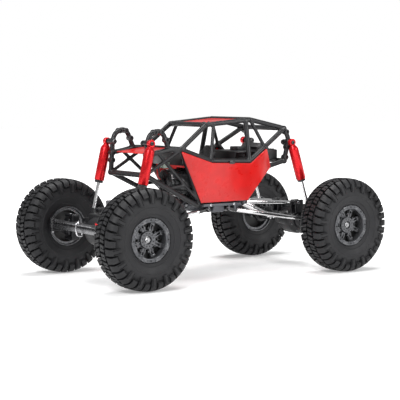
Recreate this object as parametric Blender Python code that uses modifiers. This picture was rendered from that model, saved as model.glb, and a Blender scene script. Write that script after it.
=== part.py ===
"""Radio-controlled rock crawler: tube buggy chassis on two four-link axles.

Frame: +X forward, +Y to the driver's left, +Z up, metres.  The origin is on the ground,
midway between the four wheels.  Every dimension in this file is written in millimetres and
turned into metres by the helpers.
"""
import math

import bmesh
import bpy
from mathutils import Matrix, Vector

MM = 0.001

# ---------------------------------------------------------------- driving dimensions (mm)
WHEELBASE = 313.0
TRACK = 206.0
TYRE_RADIUS = 62.5
AXLE_X = WHEELBASE / 2
WHEEL_Y = TRACK / 2
AXLE_Z = TYRE_RADIUS
TUBE_RADIUS = 3.3
BRACE_RADIUS = 2.4
CORNER_RADIUS = 4.4
SHOCK_BOSS_RADIUS = 3.6
SHOCK_BOSS_END = 49.8
PANEL_THICKNESS = 1.2
PANEL_LIFT = 1.6
TRAY_THICKNESS = 2.0
BRACKET_WIDTH = 2.2
GAP = 0.4

# pivots of the left side, front axle; the rear axle is the same turned about
LOWER_LINK_CHASSIS = (16.0, 34.0, 86.0)
LOWER_LINK_AXLE = (143.0, 34.0, 65.5)
UPPER_LINK_CHASSIS = (46.0, 20.0, 93.0)
UPPER_LINK_AXLE = (141.0, 20.0, 87.0)
SHOCK_AXLE = (140.0, 54.0, 73.0)
SHOCK_TOP_FRONT = (115.4, 54.0, 174.8)
SHOCK_TOP_REAR = (-107.5, 54.0, 171.6)
SHAFT_CHASSIS = (38.0, 0.0, 101.0)
SHAFT_AXLE = (115.5, 0.0, 67.8)
KINGPIN_Y = 80.0
STEERING_ARM = 26.0
SERVO_AXIS_Y = 37.2
SERVO_HALF_WIDTH = 9.2

# drive train
GEAR_MODULE = 0.8
PINION_TEETH = 12
SPUR_TEETH = 40
MOTOR_AXIS = (16.0, 122.5)
SPUR_AXIS_Z = 112.0
SPUR_AXIS_Y = -2.1

# cage nodes of the left side
FRONT_LOW = (116.4, 42.5, 134.7)
HOOP_FRONT = (113.5, 42.5, 176.0)
HOOP_BEND = (110.0, 42.5, 185.5)
HOOP_TOP = (98.5, 43.0, 190.8)
HOOP_BACK = (90.5, 43.3, 186.5)
HOOD_MID = (81.0, 43.6, 166.6)
HOOP_FOOT = (81.9, 43.3, 166.0)
RAIL_FRONT = (112.8, 42.6, 160.6)
BRACE_TOP = (99.0, 42.8, 162.6)
PILLAR_FOOT = (63.6, 43.5, 166.0)
ROOF_FRONT = (24.0, 42.0, 196.8)
ROOF_REAR = (-44.7, 44.5, 202.6)
REAR_TOP = (-100.5, 46.0, 190.4)
REAR_BULGE = (-108.0, 46.0, 176.5)
REAR_MID = (-103.5, 45.5, 156.0)
REAR_LOW = (-101.6, 45.0, 147.0)
SILL_FRONT = (26.4, 56.5, 150.6)
SILL_REAR = (-35.0, 56.5, 148.6)
DOOR_PEAK = (-62.0, 53.6, 166.5)
DOOR_TAIL = (-79.0, 39.2, 140.0)
ROCKER_REAR = (-46.0, 33.5, 97.5)
ROCKER_FRONT = (29.5, 33.5, 97.3)
NOSE_LOW = (32.0, 34.8, 91.6)

# door corners, the inner face of the left door
DOOR = {
    "front_top": (66.0, 47.6, 163.5),
    "sill_front": (26.4, 61.1, 148.1),
    "sill_rear": (-35.0, 61.1, 146.0),
    "peak": (-62.5, 58.6, 164.5),
    "tail": (-79.6, 44.3, 139.3),
    "foot_rear": (-46.0, 39.1, 96.0),
    "foot_front": (29.5, 39.1, 95.5),
}


# ---------------------------------------------------------------- scene set-up
for old in list(bpy.data.objects):
    bpy.data.objects.remove(old)

PARTS = bpy.data.collections.new("rock_crawler")
bpy.context.scene.collection.children.link(PARTS)
SCRATCH = bpy.data.collections.new("cutters")
bpy.context.scene.collection.children.link(SCRATCH)


def finish(name, colour, roughness, metallic=0.0):
    """A plain Principled material."""
    material = bpy.data.materials.new(name)
    material.use_nodes = True
    shader = material.node_tree.nodes["Principled BSDF"]
    shader.inputs["Base Color"].default_value = (*colour, 1.0)
    shader.inputs["Roughness"].default_value = roughness
    shader.inputs["Metallic"].default_value = metallic
    material.diffuse_color = (*colour, 1.0)
    return material


NYLON = finish("black_nylon", (0.030, 0.030, 0.034), 0.55)
RED_PANEL = finish("red_panel", (0.80, 0.02, 0.015), 0.22)
RED_ANODISED = finish("red_anodised", (0.70, 0.02, 0.03), 0.25, 0.9)
STEEL = finish("bright_steel", (0.72, 0.72, 0.73), 0.22, 1.0)
RUBBER = finish("tyre_rubber", (0.022, 0.022, 0.024), 0.85)
RIM_GREY = finish("rim_grey", (0.10, 0.10, 0.105), 0.45, 0.3)
SKID_GREY = finish("skid_grey", (0.055, 0.058, 0.068), 0.45)
DARK_CASE = finish("dark_case", (0.040, 0.042, 0.046), 0.4)
MOTOR_STEEL = finish("motor_black", (0.03, 0.03, 0.03), 0.3, 0.6)
GEAR_STEEL = finish("gear_steel", (0.35, 0.35, 0.36), 0.35, 1.0)
BATTERY_WRAP = finish("battery_wrap", (0.05, 0.07, 0.16), 0.4)
SERVO_GREY = finish("servo_grey", (0.18, 0.18, 0.20), 0.4)


# ---------------------------------------------------------------- helpers
def vec(point):
    """A point in millimetres as a vector in metres."""
    return Vector(point) * MM


def flip(point):
    """The same point on the right side."""
    return (point[0], -point[1], point[2])


def rearward(point):
    """The same point on the rear axle."""
    return (-point[0], point[1], point[2])


def raw(mesh, name="raw"):
    """A working object in the cutters' collection."""
    obj = bpy.data.objects.new(name, mesh)
    obj.display_type = "WIRE"
    obj.hide_render = True
    SCRATCH.objects.link(obj)
    return obj


def from_bmesh(bm):
    """A working object from a bmesh, with its faces turned outward."""
    bmesh.ops.recalc_face_normals(bm, faces=bm.faces)
    mesh = bpy.data.meshes.new("raw")
    bm.to_mesh(mesh)
    bm.free()
    return raw(mesh)


def evaluated(obj):
    """The mesh of an object with its modifiers applied, in world space."""
    bpy.context.view_layer.update()
    graph = bpy.context.evaluated_depsgraph_get()
    mesh = bpy.data.meshes.new_from_object(obj.evaluated_get(graph))
    mesh.transform(obj.matrix_world)
    return mesh


def discard(obj):
    bpy.data.objects.remove(obj)


def block(low, high):
    """A box between two corners."""
    bm = bmesh.new()
    bmesh.ops.create_cube(bm, size=1.0)
    size = vec(high) - vec(low)
    place = Matrix.Translation((vec(high) + vec(low)) / 2) @ Matrix.Diagonal((*size, 1.0))
    bmesh.ops.transform(bm, matrix=place, verts=bm.verts)
    return from_bmesh(bm)


def frustum(start, end, radius_start, radius_end, sides=12):
    """A round tapered bar from one point to another."""
    bm = bmesh.new()
    a, b = vec(start), vec(end)
    bmesh.ops.create_cone(
        bm,
        cap_ends=True,
        segments=sides,
        radius1=radius_start * MM,
        radius2=radius_end * MM,
        depth=(b - a).length,
    )
    aim = Vector((0, 0, 1)).rotation_difference(b - a).to_matrix().to_4x4()
    bmesh.ops.transform(bm, matrix=Matrix.Translation((a + b) / 2) @ aim, verts=bm.verts)
    return from_bmesh(bm)


def bar(start, end, radius, sides=12):
    """A round bar of one radius."""
    return frustum(start, end, radius, radius, sides)


def ball(centre, radius, sides=10):
    bm = bmesh.new()
    bmesh.ops.create_uvsphere(bm, u_segments=sides, v_segments=max(6, sides - 4), radius=radius * MM)
    bmesh.ops.translate(bm, vec=vec(centre), verts=bm.verts)
    return from_bmesh(bm)


def tube(points, radius=TUBE_RADIUS):
    """A bent round tube through the points, as a mesh."""
    curve = bpy.data.curves.new("tube", "CURVE")
    curve.dimensions = "3D"
    curve.bevel_depth = radius * MM
    curve.bevel_resolution = 2
    curve.use_fill_caps = True
    spline = curve.splines.new("POLY")
    spline.points.add(len(points) - 1)
    for slot, point in zip(spline.points, points):
        slot.co = (*vec(point), 1.0)
    source = raw(curve)
    mesh = evaluated(source)
    discard(source)
    bm = bmesh.new()
    bm.from_mesh(mesh)
    bmesh.ops.remove_doubles(bm, verts=bm.verts, dist=1e-6)
    return from_bmesh(bm)


def plate(outline, thickness, matrix):
    """A flat outline in X and Y, extruded both ways along its own Z and then placed."""
    curve = bpy.data.curves.new("plate", "CURVE")
    curve.dimensions = "2D"
    curve.fill_mode = "BOTH"
    curve.extrude = thickness * MM / 2
    spline = curve.splines.new("POLY")
    spline.points.add(len(outline) - 1)
    for slot, point in zip(spline.points, outline):
        slot.co = (point[0] * MM, point[1] * MM, 0.0, 1.0)
    spline.use_cyclic_u = True
    source = raw(curve)
    source.matrix_world = matrix
    mesh = evaluated(source)
    discard(source)
    bm = bmesh.new()
    bm.from_mesh(mesh)
    bmesh.ops.remove_doubles(bm, verts=bm.verts, dist=1e-6)
    return from_bmesh(bm)


def combine(base, others, operation):
    """Boolean of a base with other working objects; the result is a new working object."""
    for other in others:
        step = base.modifiers.new("step", "BOOLEAN")
        step.operation = operation
        step.solver = "EXACT"
        step.object = other
    mesh = evaluated(base)
    for used in [base, *others]:
        discard(used)
    bm = bmesh.new()
    bm.from_mesh(mesh)
    bmesh.ops.remove_doubles(bm, verts=bm.verts, dist=2e-6)
    bmesh.ops.dissolve_degenerate(bm, dist=2e-6, edges=bm.edges)
    return from_bmesh(bm)


def union(pieces):
    return combine(pieces[0], pieces[1:], "UNION") if len(pieces) > 1 else pieces[0]


def cut(piece, cutters):
    return combine(piece, cutters, "DIFFERENCE")


def mirrored(obj, axis="Y"):
    """A copy of a working or finished object, mirrored across the car's middle plane."""
    mesh = evaluated(obj)
    bm = bmesh.new()
    bm.from_mesh(mesh)
    scale = {"Y": (1, -1, 1), "X": (-1, 1, 1)}[axis]
    bmesh.ops.transform(bm, matrix=Matrix.Diagonal((*scale, 1.0)), verts=bm.verts)
    return from_bmesh(bm)


def keep(obj, name, material, pivot=(0, 0, 0), smooth=True):
    """Turn a working object into a named part whose origin is at its pivot."""
    mesh = obj.data
    mesh.transform(obj.matrix_world)
    mesh.transform(Matrix.Translation(-vec(pivot)))
    mesh.name = name
    mesh.materials.clear()
    mesh.materials.append(material)
    if smooth:
        mesh.shade_smooth()
        mesh.set_sharp_from_angle(angle=math.radians(35))
    part = bpy.data.objects.new(name, mesh)
    part.location = vec(pivot)
    PARTS.objects.link(part)
    discard(obj)
    return part


def turned(name, profile, steps, centre, side, material, closed=True):
    """A turned part about a Y axis.  The profile holds (radius, offset) pairs, the offset counted
    outboard from the centre, and runs down its outer side from the outboard end."""
    mesh = bpy.data.meshes.new(name)
    edges = [(i, i + 1) for i in range(len(profile) - 1)]
    if closed:
        edges.append((len(profile) - 1, 0))
    mesh.from_pydata([(r * MM, 0.0, z * MM) for r, z in profile], edges, [])
    mesh.materials.append(material)
    part = bpy.data.objects.new(name, mesh)
    half_step = Matrix.Rotation(math.pi / steps, 4, "Z")
    lay = Matrix.Rotation(-side * math.pi / 2, 4, "X")
    part.matrix_world = Matrix.Translation(vec(centre)) @ lay @ half_step
    screw = part.modifiers.new("turn", "SCREW")
    screw.axis = "Z"
    screw.steps = steps
    screw.render_steps = steps
    screw.use_merge_vertices = True
    screw.merge_threshold = 0.00001
    screw.use_smooth_shade = True
    PARTS.objects.link(part)
    return part


# ---------------------------------------------------------------- cage
def build_cage():
    """The two side frames of the cage, moulded in one piece each, and the bars across it."""
    top_rail = [RAIL_FRONT, BRACE_TOP, HOOD_MID, PILLAR_FOOT, ROOF_FRONT, ROOF_REAR, REAR_TOP]
    side = union(
        [
            tube(top_rail),
            tube([REAR_TOP, REAR_BULGE, REAR_MID, REAR_LOW, DOOR_TAIL]),
            tube([DOOR_TAIL, ROCKER_REAR, ROCKER_FRONT, PILLAR_FOOT]),
            tube([PILLAR_FOOT, SILL_FRONT, SILL_REAR, DOOR_PEAK, REAR_TOP]),
            tube([FRONT_LOW, HOOP_FRONT, HOOP_BEND, HOOP_TOP, HOOP_BACK, HOOP_FOOT]),
            tube([DOOR_PEAK, DOOR_TAIL]),
            tube([FRONT_LOW, NOSE_LOW, ROCKER_FRONT]),
            tube([along(ROOF_FRONT, ROOF_REAR, 0.17), SILL_FRONT], BRACE_RADIUS),
            tube([along(ROOF_REAR, ROOF_FRONT, 0.10), SILL_REAR]),
            tube([ROOF_REAR, DOOR_PEAK], BRACE_RADIUS),
            tube([PILLAR_FOOT, FRONT_LOW], BRACE_RADIUS),
            tube([BRACE_TOP, ROCKER_FRONT], BRACE_RADIUS),
            tube([along(FRONT_LOW, NOSE_LOW, 0.42), along(BRACE_TOP, ROCKER_FRONT, 0.66)], BRACE_RADIUS),
            ball(PILLAR_FOOT, 3.8),
            ball(DOOR_PEAK, 3.9),
            ball(REAR_LOW, CORNER_RADIUS),
            ball(FRONT_LOW, CORNER_RADIUS),
            bar(at_y(SHOCK_TOP_FRONT, 38.0), at_y(SHOCK_TOP_FRONT, SHOCK_BOSS_END), SHOCK_BOSS_RADIUS, 10),
            bar(at_y(SHOCK_TOP_REAR, 41.0), at_y(SHOCK_TOP_REAR, SHOCK_BOSS_END), SHOCK_BOSS_RADIUS, 10),
        ]
    )
    keep(mirrored(side), "cage_side_right", NYLON)
    keep(side, "cage_side_left", NYLON)

    crossbars = {
        "crossbar_front": (FRONT_LOW, 3.6),
        "crossbar_roof_front": (ROOF_FRONT, TUBE_RADIUS),
        "crossbar_roof_rear": (ROOF_REAR, TUBE_RADIUS),
        "crossbar_rear_top": (REAR_TOP, TUBE_RADIUS),
        "crossbar_rear_low": (REAR_LOW, TUBE_RADIUS),
    }
    for name, (end, radius) in crossbars.items():
        reach = end[1] - CORNER_RADIUS - GAP
        keep(bar(at_y(end, -reach), at_y(end, reach), radius, 10), name, NYLON)


def along(start, end, fraction):
    return tuple(a + (b - a) * fraction for a, b in zip(start, end))


def at_y(point, y):
    return (point[0], y, point[2])


def sheet(name, corners, faces, thickness, material, outward):
    """A folded sheet: an open surface with Solidify, which grows outward, inward or both ways."""
    mesh = bpy.data.meshes.new(name)
    mesh.from_pydata([vec(p) for p in corners], [], faces)
    mesh.materials.append(material)
    part = bpy.data.objects.new(name, mesh)
    solid = part.modifiers.new("thickness", "SOLIDIFY")
    solid.thickness = thickness * MM
    solid.offset = outward
    solid.use_even_offset = True
    PARTS.objects.link(part)
    return part


def build_panels():
    """Doors folded from flat sheet, roof and bonnet."""
    names = list(DOOR)
    order = {name: i for i, name in enumerate(names)}
    facets = [
        ("front_top", "sill_front", "foot_front"),
        ("sill_front", "sill_rear", "foot_rear", "foot_front"),
        ("sill_rear", "peak", "tail", "foot_rear"),
    ]
    outward = [tuple(order[n] for n in facet) for facet in facets]
    left = [DOOR[n] for n in names]
    right = [flip(p) for p in left]
    reversed_facets = [facet[::-1] for facet in outward]
    sheet("door_left", left, outward, PANEL_THICKNESS, RED_PANEL, 1.0)
    sheet("door_right", right, reversed_facets, PANEL_THICKNESS, RED_PANEL, 1.0)

    edge = TUBE_RADIUS + GAP
    taper = 0.3
    front_y, rear_y = ROOF_FRONT[1] - edge, ROOF_REAR[1] - edge - taper
    front_x, rear_x = ROOF_FRONT[0] - edge, ROOF_REAR[0] + edge
    slope = (ROOF_REAR[2] - ROOF_FRONT[2]) / (ROOF_REAR[0] - ROOF_FRONT[0])
    front_z = ROOF_FRONT[2] + slope * (front_x - ROOF_FRONT[0]) + PANEL_LIFT
    rear_z = ROOF_FRONT[2] + slope * (rear_x - ROOF_FRONT[0]) + PANEL_LIFT
    roof = [
        (front_x, front_y, front_z),
        (rear_x, rear_y, rear_z),
        (rear_x, -rear_y, rear_z),
        (front_x, -front_y, front_z),
    ]
    sheet("roof_panel", roof, [(0, 1, 2, 3)], PANEL_THICKNESS, RED_PANEL, 0.0)

    hood_y = PILLAR_FOOT[1] - CORNER_RADIUS - GAP
    hood_front_y = RAIL_FRONT[1] - edge - taper
    rear, front = along(PILLAR_FOOT, HOOD_MID, 0.1), along(RAIL_FRONT, BRACE_TOP, 0.1)
    hood = [
        (front[0], hood_front_y, front[2] + PANEL_LIFT),
        (rear[0], hood_y, rear[2] + PANEL_LIFT),
        (rear[0], -hood_y, rear[2] + PANEL_LIFT),
        (front[0], -hood_front_y, front[2] + PANEL_LIFT),
    ]
    sheet("hood_panel", hood, [(0, 1, 2, 3)], PANEL_THICKNESS, RED_PANEL, 0.0)


# ---------------------------------------------------------------- chassis
def build_chassis():
    """Skid plate with the link mounts, interior, battery and electronics."""
    flange_low, flange_top = 90.0, 93.4
    pieces = [
        block((-36.0, -38.0, flange_low), (25.0, 38.0, flange_top)),
        block((-38.0, -29.0, 82.0), (27.0, 29.0, flange_low + 1.0)),
        block((-9.0, -37.0, 82.0), (9.0, 37.0, flange_low + 1.0)),
    ]
    for end in (1, -1):
        low_x, high_x = sorted((end * 22.0, end * 51.0))
        for y0, y1 in ((12.6, 15.4), (24.6, 27.4), (-15.4, -12.6), (-27.4, -24.6)):
            pieces.append(block((low_x, y0, 88.0), (high_x, y1, 97.0)))
    keep(union(pieces), "skid_plate", SKID_GREY)

    half_width = 34.0
    profile = [(59.0, 161.0), (56.5, 144.5), (-28.0, 144.5), (-30.5, 158.5), (-66.0, 158.5)]
    corners = [(x, side * half_width, z) for x, z in profile for side in (1, -1)]
    faces = [(2 * i, 2 * i + 2, 2 * i + 3, 2 * i + 1) for i in range(len(profile) - 1)]
    sheet("interior_tray", corners, faces, TRAY_THICKNESS, NYLON, -1.0)

    seat_back = [(-15, 0), (15, 0), (15, 15), (8, 24), (-8, 24), (-15, 15)]
    lean = Matrix.Translation(vec((-4.5, 0.0, 145.6))) @ Matrix.Rotation(math.pi / 2, 4, "Z")
    lean = lean @ Matrix.Rotation(math.radians(72), 4, "X")
    seat = union([plate(seat_back, 5.0, lean), block((-8.0, -15.0, 145.2), (24.0, 15.0, 150.0))])
    keep(seat, "driver_seat", NYLON)

    build_battery_cover()
    keep(block((-95.2, -32.0, 147.6), (-76.6, 32.0, 158.6)), "battery_pack", BATTERY_WRAP)
    keep(block((-60.0, -18.0, 143.4), (-37.0, 18.0, 156.2)), "speed_controller", DARK_CASE)
    keep(block((-64.0, -9.0, 158.9), (-50.0, 9.0, 166.0)), "receiver_box", DARK_CASE)


def build_battery_cover():
    """A cover over the battery, open underneath, with a raised middle."""
    hump = [(-75.0, 160.0), (-75.0, 165.0), (-84.0, 170.6), (-96.8, 163.6), (-96.8, 160.0)]
    outer = union([block((-97.6, -36.0, 147.2), (-74.2, 36.0, 162.0)), prism(hump, -19.0, 19.0)])
    inside = block((-96.0, -34.4, 145.0), (-75.8, 34.4, 160.2))
    keep(cut(outer, [inside]), "battery_cover", NYLON)


def prism(outline, y0, y1):
    """An outline in X and Z, extruded from y0 to y1."""
    upright = Matrix.Translation(vec((0.0, (y0 + y1) / 2, 0.0))) @ Matrix.Rotation(math.pi / 2, 4, "X")
    return plate(outline, y1 - y0, upright)


# ---------------------------------------------------------------- drive train
def gear_outline(teeth, phase):
    """Tooth outline with straight flanks, slimmer than the pitch so that the pair runs free."""
    pitch_radius = GEAR_MODULE * teeth / 2
    tip, root = pitch_radius + 0.9 * GEAR_MODULE, pitch_radius - 1.25 * GEAR_MODULE
    step = 2 * math.pi / teeth
    points = []
    for tooth in range(teeth):
        middle = phase + tooth * step
        for radius, share in ((root, -0.30), (tip, -0.11), (tip, 0.11), (root, 0.30)):
            angle = middle + share * step
            points.append((radius * math.cos(angle), radius * math.sin(angle)))
    return points


def across(x, y, z):
    """Placing matrix of a plate that faces along X, its own X and Y on the car's Y and Z."""
    axes = Matrix(((0, 0, 1, 0), (1, 0, 0, 0), (0, 1, 0, 0), (0, 0, 0, 1)))
    return Matrix.Translation(vec((x, y, z))) @ axes


def build_drive_train():
    """Gearbox with its motor plate, motor, pinion and spur gear."""
    motor_y, motor_z = MOTOR_AXIS
    line = math.atan2(SPUR_AXIS_Z - motor_z, SPUR_AXIS_Y - motor_y)
    gear_x, gear_width = 21.6, 4.0
    pinion = plate(gear_outline(PINION_TEETH, line), gear_width, across(gear_x, motor_y, motor_z))
    shaft = bar((gear_x, motor_y, motor_z), (26.9, motor_y, motor_z), 1.6, 10)
    keep(union([pinion, shaft]), "pinion_gear", GEAR_STEEL, (gear_x, motor_y, motor_z))
    phase = line + math.pi + math.pi / SPUR_TEETH
    spur = plate(gear_outline(SPUR_TEETH, phase), gear_width, across(gear_x, SPUR_AXIS_Y, SPUR_AXIS_Z))
    spur_shaft = bar((12.0, SPUR_AXIS_Y, SPUR_AXIS_Z), (gear_x, SPUR_AXIS_Y, SPUR_AXIS_Z), 2.0, 12)
    keep(union([spur, spur_shaft]), "spur_gear", GEAR_STEEL, (gear_x, SPUR_AXIS_Y, SPUR_AXIS_Z))

    case = union(
        [
            block((-18.0, -19.0, 93.8), (18.6, 15.0, 122.0)),
            bar((-16.0, SPUR_AXIS_Y, SPUR_AXIS_Z), (17.0, SPUR_AXIS_Y, SPUR_AXIS_Z), 17.0, 16),
            block((8.0, -24.0, 97.0), (27.0, -19.8, 124.0)),
            block((8.0, -22.0, 97.0), (16.0, -18.0, 121.0)),
            block((24.6, -23.0, 104.0), (27.0, 32.0, 139.0)),
            bar((-32.4, 0.0, SHAFT_CHASSIS[2]), (-10.0, 0.0, SHAFT_CHASSIS[2]), 4.4),
            bar((24.9, 0.0, SHAFT_CHASSIS[2]), (32.4, 0.0, SHAFT_CHASSIS[2]), 4.4),
        ]
    )
    bore = bar((10.0, SPUR_AXIS_Y, SPUR_AXIS_Z), (19.5, SPUR_AXIS_Y, SPUR_AXIS_Z), 2.5, 12)
    window = bar((23.0, motor_y, motor_z), (29.0, motor_y, motor_z), 5.0, 16)
    keep(cut(case, [bore, window]), "gearbox_case", DARK_CASE)
    motor = union(
        [
            bar((27.4, motor_y, motor_z), (70.0, motor_y, motor_z), 17.5, 24),
            frustum((69.0, motor_y, motor_z), (73.0, motor_y, motor_z), 16.0, 13.0, 24),
            bar((72.0, motor_y, motor_z), (76.5, motor_y, motor_z), 5.0, 12),
        ]
    )
    keep(motor, "motor", MOTOR_STEEL)


# ---------------------------------------------------------------- suspension
def eye(centre, radius, half_width, sides=12):
    """A rod end: a short drum across the link."""
    low, high = at_y(centre, centre[1] - half_width), at_y(centre, centre[1] + half_width)
    return bar(low, high, radius, sides)


def link(name, chassis_end, axle_end, radius, pivot):
    """A round link with a moulded rod end on each side."""
    start, end = along(chassis_end, axle_end, 0.12), along(chassis_end, axle_end, 0.88)
    pieces = [
        bar(start, end, radius, 10),
        frustum(chassis_end, along(chassis_end, axle_end, 0.14), 2.2, radius * 0.9, 8),
        frustum(along(chassis_end, axle_end, 0.86), axle_end, radius * 0.9, 2.2, 8),
        eye(chassis_end, 3.6, 3.4),
        eye(axle_end, 3.6, 3.4),
    ]
    keep(union(pieces), name, STEEL, pivot)


def build_links(end_name, turn):
    for side_name, mirror in (("left", lambda p: p), ("right", flip)):
        low_a, low_b = mirror(turn(LOWER_LINK_CHASSIS)), mirror(turn(LOWER_LINK_AXLE))
        link(f"{end_name}_lower_link_{side_name}", low_a, low_b, 3.0, at_y(low_a, 0.0))
        up_a, up_b = mirror(turn(UPPER_LINK_CHASSIS)), mirror(turn(UPPER_LINK_AXLE))
        link(f"{end_name}_upper_link_{side_name}", up_a, up_b, 2.8, at_y(up_a, 0.0))


def build_driveshaft(end_name, turn):
    """Telescopic shaft between the gearbox and an axle, with a yoke at each end."""
    a, b = turn(SHAFT_CHASSIS), turn(SHAFT_AXLE)
    pieces = [
        bar(along(a, b, 0.06), along(a, b, 0.55), 4.2, 10),
        bar(along(a, b, 0.50), along(a, b, 0.94), 3.2, 10),
        bar(along(a, b, -0.035), along(a, b, 0.09), 5.0, 8),
        bar(along(a, b, 0.91), along(a, b, 1.035), 5.0, 8),
    ]
    keep(union(pieces), f"{end_name}_driveshaft", STEEL, a)


def build_shocks(end_name, top, bottom):
    """Oil-filled coil-over tubes: a body bored from below, and a shaft that slides in it."""
    body_end = 0.52
    shaft_inside = 0.20
    for side_name, mirror in (("left", lambda p: p), ("right", flip)):
        a, b = mirror(top), mirror(bottom)
        body = union(
            [
                eye(a, 5.0, 3.0, 14),
                frustum(along(a, b, 0.02), along(a, b, 0.14), 3.4, 5.6, 14),
                bar(along(a, b, 0.12), along(a, b, 0.48), 6.4, 16),
                bar(along(a, b, 0.47), along(a, b, body_end), 7.0, 16),
            ]
        )
        bore = bar(along(a, b, body_end - 0.40), along(a, b, body_end + 0.02), 2.5, 12)
        keep(cut(body, [bore]), f"{end_name}_shock_body_{side_name}", RED_ANODISED, at_y(a, 0.0))
        shaft = union(
            [
                bar(along(a, b, body_end - shaft_inside), along(a, b, 0.90), 1.75, 10),
                frustum(along(a, b, 0.87), along(a, b, 0.98), 2.6, 3.0, 10),
                eye(b, 3.6, 3.0, 12),
            ]
        )
        keep(shaft, f"{end_name}_shock_shaft_{side_name}", STEEL, at_y(b, 0.0))


# ---------------------------------------------------------------- axles
def axle_core(tube_end, bulge):
    """Housing pieces that both axles share, drawn for the front axle."""
    x = AXLE_X
    half_bracket = BRACKET_WIDTH / 2
    pieces = []
    for mirror in (lambda p: p, flip):
        lower, upper, shock = mirror(LOWER_LINK_AXLE), mirror(UPPER_LINK_AXLE), mirror(SHOCK_AXLE)
        for centre, gap, reach, low, high in (
            (lower, 4.0, 12.0, 61.0, 70.0),
            (upper, 4.0, 10.0, 72.0, 91.0),
        ):
            for sign in (1, -1):
                y = centre[1] + sign * (gap + half_bracket)
                corner = (centre[0] - 4.0, y - half_bracket, low)
                pieces.append(block(corner, (centre[0] + reach, y + half_bracket, high)))
        ear_y = shock[1] - math.copysign(4.6, shock[1])
        corner = (shock[0] - 4.0, ear_y - half_bracket, 60.0)
        pieces.append(block(corner, (shock[0] + 14.0, ear_y + half_bracket, 77.0)))
    return pieces + [
        bar((x, -tube_end, AXLE_Z), (x, tube_end, AXLE_Z), 6.8, 12),
        bar((x, -10.0, AXLE_Z), (x, 10.0, AXLE_Z), bulge, 20),
        frustum((x, 9.5, AXLE_Z), (x, 16.0, AXLE_Z), bulge, bulge * 0.72, 20),
        frustum((x, -9.5, AXLE_Z), (x, -16.0, AXLE_Z), bulge, bulge * 0.72, 20),
        frustum((x - 8.0, 0.0, AXLE_Z + 2.0), (125.5, 0.0, AXLE_Z + 3.6), 12.0, 7.0, 12),
        block((x - 12.0, -26.0, 76.0), (x + 4.0, 26.0, 84.0)),
        block((x - 6.0, -26.0, 64.0), (x + 4.0, -20.0, 78.0)),
        block((x - 6.0, 20.0, 64.0), (x + 4.0, 26.0, 78.0)),
    ]


def build_front_axle():
    x = AXLE_X
    pieces = axle_core(67.0, 18.4)
    for side in (1, -1):
        web = sorted((side * 64.0, side * 70.0))
        arms = sorted((side * 66.0, side * 86.0))
        pieces.append(block((x - 5.5, web[0], 45.5), (x + 5.5, web[1], 79.5)))
        pieces.append(block((x - 5.5, arms[0], 75.2), (x + 5.5, arms[1], 79.5)))
        pieces.append(block((x - 5.5, arms[0], 45.5), (x + 5.5, arms[1], 49.8)))
    servo_low, servo_high = SERVO_AXIS_Y - SERVO_HALF_WIDTH, SERVO_AXIS_Y + SERVO_HALF_WIDTH
    pieces += [
        block((x - 36.0, 24.0, 81.8), (x - 8.0, servo_high, 84.2)),
        block((x + 2.0, 22.0, 81.8), (x + 16.0, servo_low + 2.5, 84.2)),
        block((x + 6.0, servo_low, 81.8), (x + 16.0, servo_high, 84.2)),
        block((x - 36.0, servo_low, 83.0), (x - 31.2, servo_high, 87.6)),
        block((x + 10.0, servo_low, 83.0), (x + 16.0, servo_high, 87.6)),
    ]
    keep(union(pieces), "front_axle_housing", NYLON, (LOWER_LINK_AXLE[0], 0.0, LOWER_LINK_AXLE[2]))
    build_knuckles()
    build_steering()


def build_knuckles():
    """Steering knuckles that turn in the yokes at the axle's ends."""
    x = AXLE_X
    left = union(
        [
            block((x - 6.0, KINGPIN_Y - 6.0, 51.0), (x + 6.0, KINGPIN_Y + 8.0, 74.0)),
            bar((x, KINGPIN_Y + 7.0, AXLE_Z), (x, 96.0, AXLE_Z), 6.0, 12),
            bar((x, 95.0, AXLE_Z), (x, 105.5, AXLE_Z), 3.0, 12),
            block((x + 4.0, KINGPIN_Y - 2.6, 57.6), (x + STEERING_ARM, KINGPIN_Y + 2.6, 61.8)),
            bar((x + STEERING_ARM, KINGPIN_Y, 57.4), (x + STEERING_ARM, KINGPIN_Y, 62.0), 3.4, 12),
        ]
    )
    keep(mirrored(left), "knuckle_right", NYLON, (x, -KINGPIN_Y, AXLE_Z))
    keep(left, "knuckle_left", NYLON, (x, KINGPIN_Y, AXLE_Z))


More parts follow.
